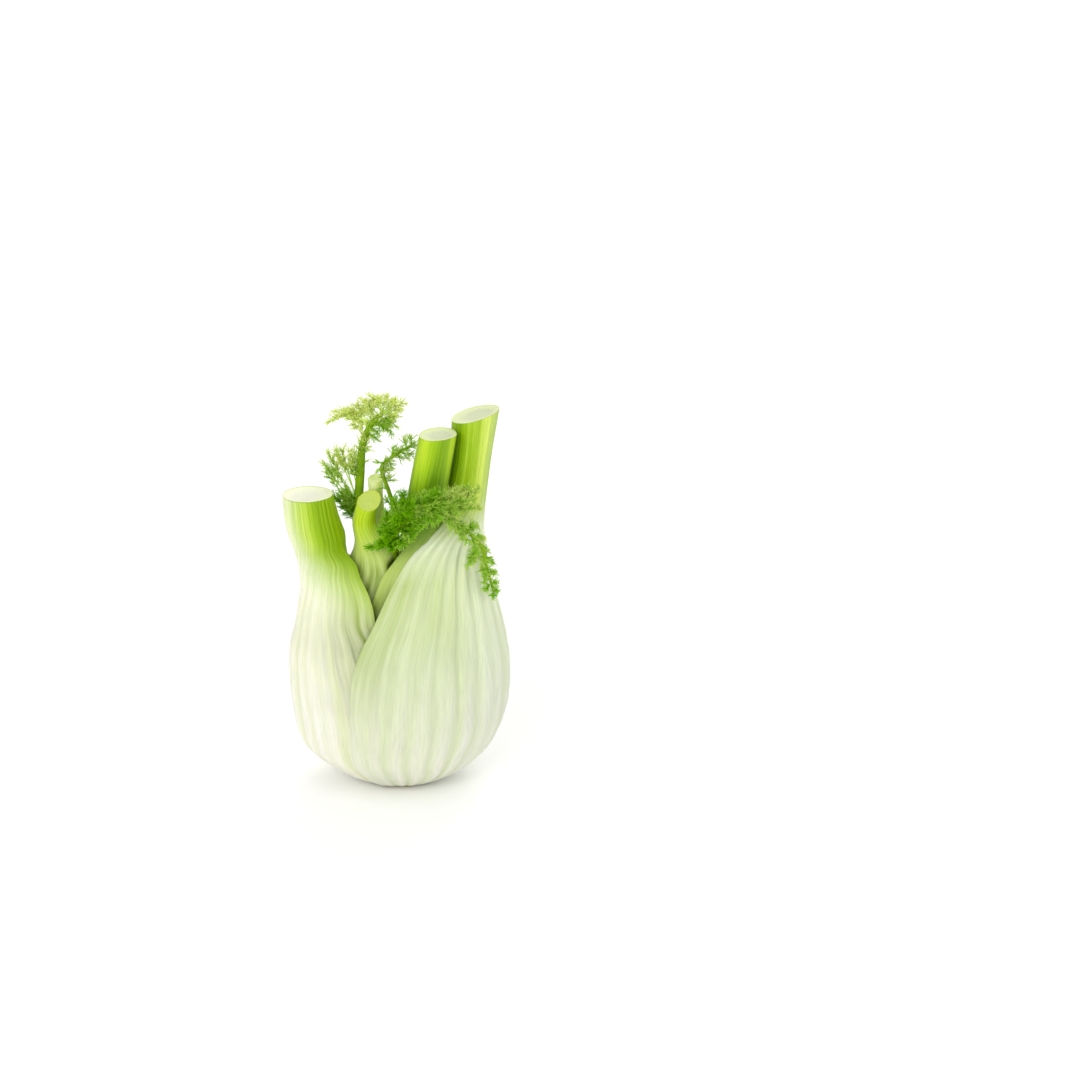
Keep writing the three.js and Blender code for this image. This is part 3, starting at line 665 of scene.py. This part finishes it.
FROND_FRONT = dict(
    node="frond_front",
    seed=303,
    fine_spacing=0.16,
    fuzz_from=8.5,
    stem=[
        (0, -4, 88, 1.5),
        (0, -6, 97, 1.45),
        (-0.5, -9.5, 105, 1.4),
        (-0.5, -14.5, 111.5, 1.3),
        (2, -18.5, 118.5, 1.2),
        (7, -21.5, 125.5, 1.1),
        (12.5, -22.6, 129.6, 1),
        (18.5, -23, 130.8, 0.95),
        (22.7, -23.8, 126.5, 0.9),
        (27.8, -24, 121.5, 0.85),
        (32.7, -23, 116.3, 0.8),
        (36.5, -21.5, 110.7, 0.75),
        (38.2, -19.4, 101.1, 0.65),
        (41, -17, 90, 0.5),
    ],
    sprays=[
        (2.4, (-11.5, -15, 108.5), 2, 4),
        (2.6, (-7, -18, 111), 2, 4.5),
        (2.6, (-7, -13.5, 115.5), 1, 5),
        (2.8, (-1.5, -22, 111), 2, 5),
        (2.8, (-3.5, -13, 123), 0, 5),
        (3, (0.5, -13.5, 129), 0, 5.5),
        (3.2, (3.5, -26, 114), 3, 5.5),
        (3.4, (-3, -24, 117), 3, 5.5),
        (3.6, (4, -17, 133), 0, 5.5),
        (3.8, (7.5, -28, 117.5), 3, 5.5),
        (4, (1.5, -26, 124.5), 3, 6),
        (4.2, (8.5, -18, 131.5), 0, 5.5),
        (4.4, (11.5, -28, 123), 3, 6),
        (4.8, (13, -19, 133.5), 0, 5.5),
        (5, (6.5, -27.5, 128.5), 3, 6),
        (5.3, (15, -29, 125.5), 3, 6),
        (5.6, (17.5, -21, 135), 0, 5),
        (6, (22, -20.5, 135), 0, 5),
        (6.3, (19.5, -29, 126), 4, 5.5),
        (6.6, (26.5, -28, 128), 2, 5.5),
        (6.8, (26, -19, 135.5), 0, 5),
        (7, (24.5, -28.5, 122), 4, 5.5),
        (7.3, (30, -18, 136), 0, 5),
        (7.5, (33, -24, 133), 2, 5),
        (7.6, (36, -17, 126.5), 1, 4),
        (7.8, (28, -28, 117.5), 3, 5),
        (8, (35, -17, 136), 0, 4.5),
        (8.4, (30.5, -27, 115.5), 2, 4.5),
        (9.3, (34, -17, 119), 1, 4),
        (9.8, (34, -25, 110), 2, 3.5),
        (10, (37, -16.5, 113), 1, 3.5),
        (10.4, (33, -21, 104.5), 1, 3.5),
        (10.8, (30, -24, 103.5), 2, 3.5),
        (11, (38.5, -15.5, 107.5), 1, 3),
        (11.2, (35.5, -20, 100), 1, 3.5),
        (11.4, (40.5, -14, 101), 1, 3),
        (11.8, (37, -22.5, 96), 2, 3.5),
        (12.2, (41.5, -13.5, 97), 1, 3),
        (12.6, (37.5, -19.5, 91.5), 1, 3.6),
        (12.6, (42, -15, 93), 1, 3),
        (13, (42, -13, 89), 0, 3),
        (13, (40.5, -15.5, 87), 0, 3),
    ],
)


class Strands:
    """Many thin tapering strands gathered into one mesh."""

    def __init__(self):
        self.points = []
        self.faces = []
        self.kinds = []
        self.light = []
        self.pale = []

    def add(self, path, radii, sides, light, pale, kind=0):
        """A strand along a path, with a radius and a lightness from 0 to 1 at each of its points.

        Its kind is the material: 0 for leaf and 1 for stem.
        """
        first = len(self.points)
        side = None
        for k, point in enumerate(path):
            ahead = (path[min(k + 1, len(path) - 1)] - path[max(k - 1, 0)]).normalized()
            if side is None:
                side = Vector((1, 0, 0)) if abs(ahead.z) > 0.9 else Vector((0, 0, 1))
            side = (side - ahead * side.dot(ahead)).normalized()
            other = ahead.cross(side)
            if radii[k] == 0:
                self.note(point, light[k], pale)
                continue
            for i in range(sides):
                angle = 2 * math.pi * i / sides
                out = side * math.cos(angle) + other * math.sin(angle)
                self.note(point + radii[k] * out, light[k], pale)
        closed = radii[-1] == 0
        rings = len(path) - closed
        self.faces += ring_walls(sides, rings, first)
        self.faces.append(tuple(first + i for i in reversed(range(sides))))
        last = first + (rings - 1) * sides
        if closed:
            self.faces += [(last + i, last + (i + 1) % sides, last + sides) for i in range(sides)]
        else:
            self.faces.append(tuple(last + i for i in range(sides)))
        self.kinds += [kind] * (len(self.faces) - len(self.kinds))

    def note(self, point, light, pale):
        self.points.append(tuple(point))
        self.light.append(light)
        self.pale.append(pale)


def leaf_trees():
    """The leaf bases' solids, to tell which threads would run into them."""
    trees = []
    for name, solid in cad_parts.items():
        if name.startswith("leaf_"):
            corners = [v.co / MM for v in solid.data.vertices]
            trees.append(BVHTree.FromPolygons(corners, [tuple(p.vertices) for p in solid.data.polygons]))
    return trees


LEAF_TREES = leaf_trees()
LEAF_REACH = 12  # how far round a thread's end a leaf base's surface is looked for
BOX_LOW, BOX_HIGH = ([c / MM for c in corner] for corner in cad_box)


def unwanted(point):
    """Whether a point lies inside a leaf base, or beyond the box round the solids."""
    if any(not low < c < high for c, low, high in zip(point, BOX_LOW, BOX_HIGH)):
        return True
    for tree in LEAF_TREES:
        nearest, normal, _, _ = tree.find_nearest(point, LEAF_REACH)
        if nearest is not None and (point - nearest).dot(normal) < 0:
            return True
    return False


def branching(heading, angle, roll):
    """A heading that leaves another at an angle, on the side given by a roll about it."""
    across = Vector((0, 0, 1)).cross(heading)
    if across.length < 0.2:
        across = Vector((0, -1, 0)).cross(heading)
    across = Matrix.Rotation(roll, 3, heading) @ across.normalized()
    return heading * math.cos(angle) + across * math.sin(angle)


def bent_path(foot, heading, length, lift, count):
    """Points along a strand that sets off along a heading and curls a little the way of lift."""
    path = []
    for k in range(count + 1):
        share = k / count
        path.append(foot + heading * (length * share) + lift * (length * share * share))
    return path


def add_thread(strands, foot, heading, length, draw, pale, root_light):
    lift = Vector((draw() - 0.5, draw() - 0.5, draw() - 0.3)) * THREAD_CURL
    path = bent_path(foot, heading, length, lift, 3)
    path.pop(1)
    if unwanted(path[1]) or unwanted(path[-1]):
        return
    radii = [THREAD_RADIUS, THREAD_RADIUS * 0.9, 0]
    strands.add(path, radii, 3, [mix(root_light, 1, k / 2) for k in range(3)], pale)


def add_needle(strands, foot, heading, length, draw, pale, root_light):
    """A needle as the eye sees it close up: a fine midrib with threads that leave it by turns."""
    lift = Vector((draw() - 0.5, draw() - 0.5, draw() - 0.4)) * NEEDLE_CURL
    path = bent_path(foot, heading, length, lift, 3)
    if unwanted(path[1]) or unwanted(path[-1]):
        return
    radii = [RACHIS_RADIUS * share for share in (1, 0.85, 0.65, 0)]
    strands.add(path, radii, 3, [mix(root_light, 1, k / 3) for k in range(4)], pale)
    count = max(3, round(length / THREAD_SPACING))
    for i in range(count):
        share = mix(0.15, 0.92, i / (count - 1))
        at = foot + heading * (length * share) + lift * (length * share * share)
        turn = (0 if i % 2 else math.pi) + (draw() - 0.5) * 1.8
        out = branching(heading, math.radians(mix(*THREAD_ANGLES, draw())), turn)
        reach = length * mix(*THREAD_REACH, draw()) * (1.2 - 0.8 * share) + 0.4
        add_thread(strands, at, out, reach, draw, pale, mix(root_light, 1, share))


def spray_curve(stem, place, tip, bow):
    start = Vector(along(stem, np.array([float(place)]))[0][:3])
    end = Vector(tip)
    over = (start + end) / 2
    over.z += bow

    def point(v):
        return start * (1 - v) ** 2 + over * (2 * v * (1 - v)) + end * v**2

    def tangent(v):
        return ((over - start) * (2 * (1 - v)) + (end - over) * (2 * v)).normalized()

    return point, tangent, (end - start).length


def add_spray(strands, stem, spray, fine_spacing, draw, extra, pale_at):
    """A spray's stem, the needles of its solid, and finer ones between them, drawn by extra."""
    place, tip, bow, reach, bare = (*spray, BARE)[:5]
    point, tangent, length = spray_curve(stem, place, tip, bow)
    pale = pale_at(Vector(tip))
    path = [point(k / 8) for k in range(9)]
    radii = [SPRAY_RADIUS * mix(1, 0.45, k / 8) for k in range(8)] + [0]
    strands.add(path, radii, 5, [0.5] * 9, pale)
    leafy = length * (1 - bare)
    count = max(3, round(leafy / NEEDLE_SPACING))
    needles = []
    for i in range(count):
        v = mix(bare, 0.92, i / (count - 1))
        roll = (0 if i % 2 else math.pi) + (draw() - 0.5) * 1.9
        angle = math.radians(NEEDLE_ANGLE) * mix(0.8, 1.2, draw())
        span = reach * mix(0.8, 1.15, draw()) * (1.15 - 0.5 * v)
        needles.append((point(v), branching(tangent(v), angle, roll), span, v))
    more = round(leafy / fine_spacing)
    for i in range(more):
        v = mix(bare - 0.08, 0.93, (i + extra()) / more)
        angle = math.radians(mix(*FINE_ANGLES, extra()) * (1 - 0.5 * smooth(v, 0.7, 1)))
        heading = branching(tangent(v), angle, extra() * 2 * math.pi)
        needles.append((point(v), heading, reach * mix(0.5, 1, extra()) * (1.1 - 0.45 * v), v))
    for foot, heading, span, v in needles:
        add_needle(strands, foot, heading, span, extra, pale, 0.2 + 0.3 * v)


def add_fuzz(strands, stem, first, extra, pale_at):
    """Short needles that stand close along a frond's stem, from a place on it to its tip."""
    last = len(stem) - 1
    count = round((last - first) / FUZZ_SPACING)
    for i in range(count):
        place = mix(first, last - 0.02, (i + extra()) / count)
        here, there = along(stem, np.array([place, place + 0.02]))
        foot = Vector(here[:3])
        ahead = (Vector(there[:3]) - foot).normalized()
        heading = branching(ahead, math.radians(mix(*FUZZ_ANGLES, extra())), extra() * 2 * math.pi)
        length = here[3] * 1.5 + mix(*FUZZ_REACH, extra())
        add_needle(strands, foot, heading, length, extra, pale_at(foot), 0.3)


def build_frond(frond, pale_at):
    """A frond's stem, sprays and leaf in one mesh, as pale at each place as pale_at says."""
    strands = Strands()
    stem = np.array(frond["stem"], float)
    places = np.linspace(0, len(stem) - 1, 6 * (len(stem) - 1) + 1)
    rows = along(stem, places)
    path = [Vector(row[:3]) for row in rows]
    radii = (rows[:, 3] * STEM_SHARE).tolist()
    strands.add(path, radii, 12, [STEM_LIGHT] * len(path), STEM_PALE, kind=1)
    draw, extra = seeded(frond["seed"]), seeded(frond["seed"] + 7)
    for spray in frond["sprays"]:
        add_spray(strands, stem, spray, frond["fine_spacing"], draw, extra, pale_at)
    add_fuzz(strands, stem, frond["fuzz_from"], extra, pale_at)
    attributes = dict(light=strands.light, pale=strands.pale)
    name = frond["node"] + "_fine"
    materials = [frond_leaf, frond_stem]
    made = make_object(name, strands.points, strands.faces, attributes, materials, strands.kinds)
    stand_for(made, frond["node"], "frond_green")


# ---------------------------------------------------------------- materials


def rgb(red, green, blue):
    """A screen colour, 0 to 255, as Blender's linear colour."""

    def linear(c):
        return c / 255 / 12.92 if c <= 10 else ((c / 255 + 0.055) / 1.055) ** 2.4

    return (linear(red), linear(green), linear(blue), 1)


class Shader:
    """A material's nodes, each made and wired by one call."""

    def __init__(self, name):
        self.material = bpy.data.materials.new(name)
        self.material.use_nodes = True
        self.tree = self.material.node_tree
        self.surface = self.tree.nodes["Principled BSDF"]

    def node(self, kind, inputs, output=0, **settings):
        made = self.tree.nodes.new("ShaderNode" + kind)
        for key, value in settings.items():
            setattr(made, key, value)
        self.wire(made, inputs)
        return made.outputs[output]

    def wire(self, made, inputs):
        for key, value in inputs.items():
            if isinstance(value, bpy.types.NodeSocket):
                self.tree.links.new(value, made.inputs[key])
            else:
                made.inputs[key].default_value = value

    def read(self, attribute):
        return self.node("Attribute", {}, output="Fac", attribute_name=attribute)

    def maths(self, operation, a, b=0.0):
        return self.node("Math", {0: a, 1: b}, operation=operation)

    def blend(self, share, a, b, how="MIX"):
        return self.node("Mix", {0: share, 6: a, 7: b}, output=2, data_type="RGBA", blend_type=how)

    def ramp(self, share, stops):
        made = self.tree.nodes.new("ShaderNodeValToRGB")
        self.wire(made, {0: share})
        elements = made.color_ramp.elements
        while len(elements) < len(stops):
            elements.new(0.5)
        for element, (place, colour) in zip(elements, stops):
            element.position = place
            element.color = colour
        return made.outputs[0]

    def span(self, value, low, high):
        return self.node("MapRange", {0: value, 1: low, 2: high})

    def swing(self, value, amount):
        """A value from 0 to 1, less its middle and times an amount."""
        return self.maths("MULTIPLY", self.maths("SUBTRACT", value, 0.5), amount)

    def noise(self, vector, scale, detail=3.0, roughness=0.5):
        inputs = {"Vector": vector, "Scale": scale, "Detail": detail, "Roughness": roughness}
        return self.node("TexNoise", inputs)

    def finish(self, colour, roughness, normal, sheen=0.5, glow=None):
        """Wires the surface. Its glow is the light from within: a share, its reach by colour, a scale."""
        inputs = {"Base Color": colour, "Roughness": roughness, "Normal": normal, "Specular IOR Level": sheen}
        if glow:
            for key, value in zip(("Weight", "Radius", "Scale"), glow):
                inputs["Subsurface " + key] = value
        self.wire(self.surface, inputs)
        return self.material


SHEEN = 0.2  # a waxy leaf shines less than plain plastic, at 0.5
FROND_SHEEN = 0.08
PALETTE_TOP = 165.0  # the height in millimetres at the far end of a palette's ramps
VEIN_STRETCH = 0.012
GREY = (0.5, 0.5, 0.5, 1)
BLACK = (0, 0, 0, 1)


def grey(level):
    return (level, level, level, 1)


def leaf_skin(name, palette):
    """Leaf base skin: pale flesh that turns green up the stalk, with fine veins along it."""
    s = Shader(name)
    up = s.span(s.read("up"), 0.0, PALETTE_TOP)
    groove, shade_and_tone, green = s.read("groove"), s.read("shade_and_tone"), s.read("green")
    across = s.read("across")
    stretched = s.maths("MULTIPLY", s.read("up"), VEIN_STRETCH)
    veins_at = s.node("CombineXYZ", {0: across, 1: stretched, 2: palette["seed"]})
    fine = s.noise(veins_at, 7.0, 4.0, 0.6)
    broad = s.noise(veins_at, 1.7, 2.0)
    where = s.node("TexCoord", {}, output="Object")
    cloud = s.noise(where, 45.0, 3.0)
    # The margins' colour is partly their own green and partly painted shade where they meet the hollows
    # between leaf bases.
    pale = s.blend(s.read("margin"), s.ramp(up, palette["pale"]), s.ramp(up, palette["margin_green_and_shade"]))
    # The grooves' colour is partly their own green and partly painted shade in them.
    pale = s.blend(s.maths("MULTIPLY", groove, 0.75), pale, palette["groove_green_and_shade"])
    pale = s.blend(s.maths("MULTIPLY", s.span(broad, 0.42, 0.68), 0.5), pale, palette["pale_vein"])
    # The stalk's green, lighter and darker along stripes that are partly its own colour and partly painted
    # light and shade.
    lit = s.ramp(s.maths("ADD", shade_and_tone, s.swing(broad, 0.9)), palette["green"])
    colour = s.blend(green, pale, lit)
    within = s.maths("MULTIPLY", s.read("inside"), palette["inside_share"])
    colour = s.blend(within, colour, palette["inside"])
    vein = s.ramp(fine, [(0.36, grey(0.86)), (0.5, grey(1.0)), (0.64, grey(1.06))])
    colour = s.blend(0.5, colour, vein, "MULTIPLY")
    colour = s.blend(0.3, colour, s.ramp(cloud, [(0.3, grey(0.88)), (0.7, grey(1.05))]), "MULTIPLY")
    grain = s.noise(where, 1400.0, 2.0)
    bump = s.maths("ADD", s.maths("MULTIPLY", fine, 0.8), s.maths("MULTIPLY", grain, 0.2))
    normal = s.node("Bump", {"Height": bump, "Strength": 0.35, "Distance": 0.00035})
    rough = s.node("MapRange", {0: cloud, 1: 0.3, 2: 0.7, 3: 0.36, 4: 0.5})
    return s.finish(colour, rough, normal, SHEEN, glow=(0.25, (1.0, 1.0, 0.45), 0.003))


def cut_face(name, rim, flesh, middle):
    """A cut stalk: a green skin line, pale flesh with strands end on, and a softer middle."""
    s = Shader(name)
    radial = s.read("radial")
    where = s.node("TexCoord", {}, output="Object")
    colour = s.ramp(radial, [(0.0, middle), (0.5, middle), (0.78, flesh), (0.93, flesh), (1.0, rim)])
    strands = s.node("TexVoronoi", {"Vector": where, "Scale": 620.0, "Randomness": 0.8})
    dots = s.span(strands, 0.34, 0.16)
    ringed = s.maths("MULTIPLY", dots, s.ramp(radial, [(0.55, BLACK), (0.8, GREY), (0.95, BLACK)]))
    colour = s.blend(ringed, colour, rgb(206, 216, 140))
    fibre = s.noise(where, 900.0, 4.0)
    colour = s.blend(0.5, colour, s.ramp(fibre, [(0.35, grey(0.86)), (0.65, grey(1.0))]), "MULTIPLY")
    normal = s.node("Bump", {"Height": fibre, "Strength": 0.5, "Distance": 0.0004})
    return s.finish(colour, 0.42, normal, glow=(0.3, (1.0, 1.0, 0.5), 0.003))


def root_end():
    """The dry cut at the root: cream, browned in rings and at its edge."""
    s = Shader("root_end")
    radial = s.read("radial")
    where = s.node("TexCoord", {}, output="Object")
    cloud = s.noise(where, 160.0, 5.0, 0.65)
    ringed = s.maths("ADD", radial, s.swing(cloud, 0.3))
    stops = [
        (0.0, rgb(226, 219, 184)),
        (0.42, rgb(218, 206, 160)),
        (0.55, rgb(190, 166, 112)),
        (0.66, rgb(222, 212, 172)),
        (0.88, rgb(206, 190, 142)),
        (1.0, rgb(186, 168, 116)),
    ]
    colour = s.ramp(ringed, stops)
    grain = s.noise(where, 1300.0, 4.0)
    colour = s.blend(0.5, colour, s.ramp(grain, [(0.35, grey(0.75)), (0.65, grey(1.0))]), "MULTIPLY")
    normal = s.node("Bump", {"Height": s.maths("ADD", cloud, grain), "Strength": 0.6, "Distance": 0.0006})
    return s.finish(colour, 0.75, normal)


def frond_skin(name, deep, middle, tip):
    """Frond green: darker deep inside a frond, partly with painted shade, lighter and yellower towards the
    tips of its leaves.
    """
    s = Shader(name)
    where = s.node("TexCoord", {}, output="Object")
    patch = s.noise(where, 120.0, 2.0)
    light, pale = s.maths("MULTIPLY", s.read("light"), 0.5), s.maths("MULTIPLY", s.read("pale"), 0.6)
    share = s.maths("ADD", s.maths("ADD", light, pale), s.swing(patch, 0.7))
    colour = s.ramp(share, [(0.0, deep), (0.5, middle), (1.0, tip)])
    normal = s.node("Bump", {"Height": s.noise(where, 2500.0, 2.0), "Strength": 0.3, "Distance": 0.0001})
    return s.finish(colour, 0.5, normal, FROND_SHEEN, glow=(0.15, (0.6, 1.0, 0.2), 0.001))


FLESH_RIGHT = dict(
    seed=1.0,
    pale=[
        (0.0, rgb(230, 226, 220)),
        (0.2, rgb(210, 211, 199)),
        (0.42, rgb(213, 220, 194)),
        (0.6, rgb(231, 236, 200)),
        (0.68, rgb(243, 246, 218)),
        (0.8, rgb(208, 224, 150)),
    ],
    # The darker green at 0.42 and 0.58 is partly the margin's own colour and partly painted shade beside the
    # hollow between the leaf bases.
    margin_green_and_shade=[
        (0.0, rgb(228, 226, 212)),
        (0.2, rgb(206, 208, 184)),
        (0.42, rgb(163, 179, 112)),
        (0.58, rgb(170, 188, 110)),
        (0.66, rgb(242, 248, 212)),
        (0.8, rgb(170, 192, 100)),
    ],
    groove_green_and_shade=rgb(192, 203, 158),
    pale_vein=rgb(208, 217, 180),
    green=[(0.0, rgb(88, 130, 0)), (0.5, rgb(143, 179, 0)), (1.0, rgb(208, 226, 92))],
    inside=rgb(200, 212, 130),
    inside_share=0.5,
)

FLESH_LEFT = dict(
    FLESH_RIGHT,
    seed=7.0,
    pale=[
        (0.0, rgb(235, 231, 226)),
        (0.2, rgb(231, 229, 221)),
        (0.42, rgb(222, 222, 201)),
        (0.58, rgb(238, 239, 216)),
        (0.74, rgb(240, 243, 204)),
    ],
    # The dark olive at 0.42 is painted shade in the hollow between this margin and the inner leaf bases.
    margin_green_and_shade=[
        (0.0, rgb(232, 231, 210)),
        (0.2, rgb(206, 208, 174)),
        (0.42, rgb(92, 108, 28)),
        (0.58, rgb(176, 196, 98)),
        (0.74, rgb(186, 206, 96)),
    ],
    groove_green_and_shade=rgb(202, 208, 162),
    pale_vein=rgb(218, 222, 188),
)

FLESH_INNER = dict(
    FLESH_RIGHT,
    seed=13.0,
    # The darker stops at 0.52, in both ramps, are partly the inner leaf's own green and partly painted shade
    # deep in the hollow between the outer leaf bases.
    pale=[
        (0.0, rgb(226, 230, 200)),
        (0.52, rgb(142, 164, 70)),
        (0.62, rgb(193, 208, 114)),
        (0.8, rgb(184, 206, 84)),
    ],
    margin_green_and_shade=[
        (0.0, rgb(222, 226, 190)),
        (0.52, rgb(132, 154, 60)),
        (0.62, rgb(179, 197, 100)),
        (0.8, rgb(160, 186, 60)),
    ],
    groove_green_and_shade=rgb(160, 180, 90),
    pale_vein=rgb(186, 205, 114),
    green=[(0.0, rgb(92, 134, 0)), (0.5, rgb(146, 184, 4)), (1.0, rgb(200, 222, 48))],
    inside=rgb(176, 194, 100),
)

FLESH_YOUNG = dict(
    FLESH_INNER,
    seed=17.0,
    pale=[
        # The near-black stops at 0.52, in both ramps, are painted shade at the bottom of the hollow between
        # the outer leaf bases.
        (0.0, rgb(226, 230, 200)),
        (0.52, rgb(62, 84, 4)),
        (0.6, rgb(142, 164, 58)),
        (0.65, rgb(190, 205, 104)),
        (0.8, rgb(204, 222, 110)),
    ],
    margin_green_and_shade=[
        (0.0, rgb(222, 226, 190)),
        (0.52, rgb(58, 80, 4)),
        (0.6, rgb(134, 158, 50)),
        (0.65, rgb(204, 218, 130)),
        (0.8, rgb(196, 216, 96)),
    ],
    groove_green_and_shade=rgb(186, 202, 116),
    pale_vein=rgb(206, 220, 142),
    green=[(0.0, rgb(128, 160, 6)), (0.5, rgb(172, 204, 14)), (1.0, rgb(214, 234, 60))],
)

FLESH_HEART = dict(
    FLESH_YOUNG,
    seed=19.0,
    green=[(0.0, rgb(200, 220, 100)), (0.5, rgb(232, 240, 160)), (1.0, rgb(244, 247, 206))],
)

# ---------------------------------------------------------------- the bulb

skin_right = leaf_skin("skin_outer_right", FLESH_RIGHT)
skin_left = leaf_skin("skin_outer_left", FLESH_LEFT)
skin_inner = leaf_skin("skin_inner", FLESH_INNER)
skin_young = leaf_skin("skin_young", FLESH_YOUNG)
skin_heart = leaf_skin("skin_heart", FLESH_HEART)
cut_left = cut_face("cut_left", rgb(222, 230, 160), rgb(230, 233, 198), rgb(222, 222, 198))
cut_right = cut_face("cut_right", rgb(206, 222, 128), rgb(212, 219, 168), rgb(196, 204, 162))
cut_inner = cut_face("cut_inner", rgb(196, 216, 100), rgb(202, 212, 152), rgb(184, 193, 148))
cut_young = cut_face("cut_young", rgb(190, 212, 60), rgb(206, 222, 96), rgb(204, 220, 108))
cut_heart = cut_face("cut_heart", rgb(214, 228, 120), rgb(224, 234, 152), rgb(218, 230, 150))

build_leaf(OUTER_RIGHT, skin_right, cut_right)
build_leaf(OUTER_LEFT, skin_left, cut_left)
build_leaf(INNER_RIGHT, skin_inner, cut_inner)
build_leaf(INNER_LEFT, skin_young, cut_young)
build_leaf(HEART, skin_heart, cut_heart)
build_root_end(root_end())

frond_leaf = frond_skin("frond_leaf", rgb(58, 128, 0), rgb(126, 194, 0), rgb(228, 244, 128))
frond_stem = frond_skin("frond_stem", rgb(62, 104, 0), rgb(128, 164, 20), rgb(200, 216, 90))


# Painted shade darkens the dense part of the tall frond round this place on its stem, fading out over these
# distances.
TALL_SHADE_AT = (-5, 151)  # along X and up
TALL_SHADE_OVER = (4, 10)


def pale_tall(at):
    """The top of the tall frond is young and light, but for the dense part round its stem, darkened with
    painted shade.
    """
    x, z = TALL_SHADE_AT
    shade_share = 1 - smooth((at - Vector((x, at.y, z))).length, *TALL_SHADE_OVER)
    return float(mix(0.14, 1.1, smooth(at.z, 118, 158)) * mix(1, 0.4, shade_share))


def pale_front(at):
    """The front frond is dark with painted shade where it is dense, and lightest at the right, but for its
    hanging end.
    """
    right = smooth(at.x, 24, 34) * smooth(at.z, 104, 120)
    return float(mix(0.06, 0.32, smooth(at.x, 6, 14)) + 0.2 * right)


def pale_behind(at):
    return 0.55


build_frond(FROND_TALL, pale_tall)
build_frond(FROND_BEHIND, pale_behind)
build_frond(FROND_FRONT, pale_front)

# ---------------------------------------------------------------- floor, light and camera, in metres

FLOOR_SIZE = 12.0
PAPER = (0.97, 0.97, 0.965, 1)
SKY_STRENGTH = 0.84
LIGHTS_AIM = Vector((0, 0, 0.08))
LIGHTS = [  # name, place, size and power in watts
    ("key", (-0.6, -1.3, 0.75), 0.9, 10.5),
    ("fill", (1.2, -0.8, 0.7), 1.0, 3),
    ("back", (0.6, 2.6, 2.1), 2.2, 34),
]
CAMERA_AIM = Vector((0.0602, 0.0343, 0.0942))
CAMERA_DISTANCE = 1.548
CAMERA_ELEVATION = math.radians(20)
CAMERA_LENS = 120  # this and the sensor are in millimetres
CAMERA_SENSOR = 36


def build_floor():
    half = FLOOR_SIZE / 2
    mesh = bpy.data.meshes.new("floor")
    corners = [(-half, -half, 0), (half, -half, 0), (half, half, 0), (-half, half, 0)]
    mesh.from_pydata(corners, [], [(0, 1, 2, 3)])
    s = Shader("floor_paper")
    s.wire(s.surface, {"Base Color": PAPER, "Roughness": 0.9})
    mesh.materials.append(s.material)
    floor = bpy.data.objects.new("floor", mesh)
    bpy.context.scene.collection.objects.link(floor)


def add_light(name, place, size, power):
    """A soft square light, aimed at the bulb."""
    data = bpy.data.lights.new(name, "AREA")
    data.size = size
    data.energy = power
    lamp = bpy.data.objects.new(name, data)
    lamp.location = place
    lamp.rotation_mode = "QUATERNION"
    lamp.rotation_quaternion = (LIGHTS_AIM - Vector(place)).to_track_quat("-Z", "Y")
    bpy.context.scene.collection.objects.link(lamp)


def build_light():
    world = bpy.data.worlds.new("studio")
    world.use_nodes = True
    sky = world.node_tree.nodes["Background"]
    sky.inputs["Color"].default_value = (1, 1, 1, 1)
    sky.inputs["Strength"].default_value = SKY_STRENGTH
    bpy.context.scene.world = world
    for light in LIGHTS:
        add_light(*light)


def build_camera():
    data = bpy.data.cameras.new("camera")
    data.lens = CAMERA_LENS
    data.sensor_width = CAMERA_SENSOR
    camera = bpy.data.objects.new("camera", data)
    back = Vector((0, -math.cos(CAMERA_ELEVATION), math.sin(CAMERA_ELEVATION)))
    camera.location = CAMERA_AIM + back * CAMERA_DISTANCE
    camera.rotation_mode = "QUATERNION"
    camera.rotation_quaternion = (-back).to_track_quat("-Z", "Y")
    bpy.context.scene.collection.objects.link(camera)
    bpy.context.scene.camera = camera


build_floor()
build_light()
build_camera()
bpy.context.scene.view_settings.view_transform = "Standard"
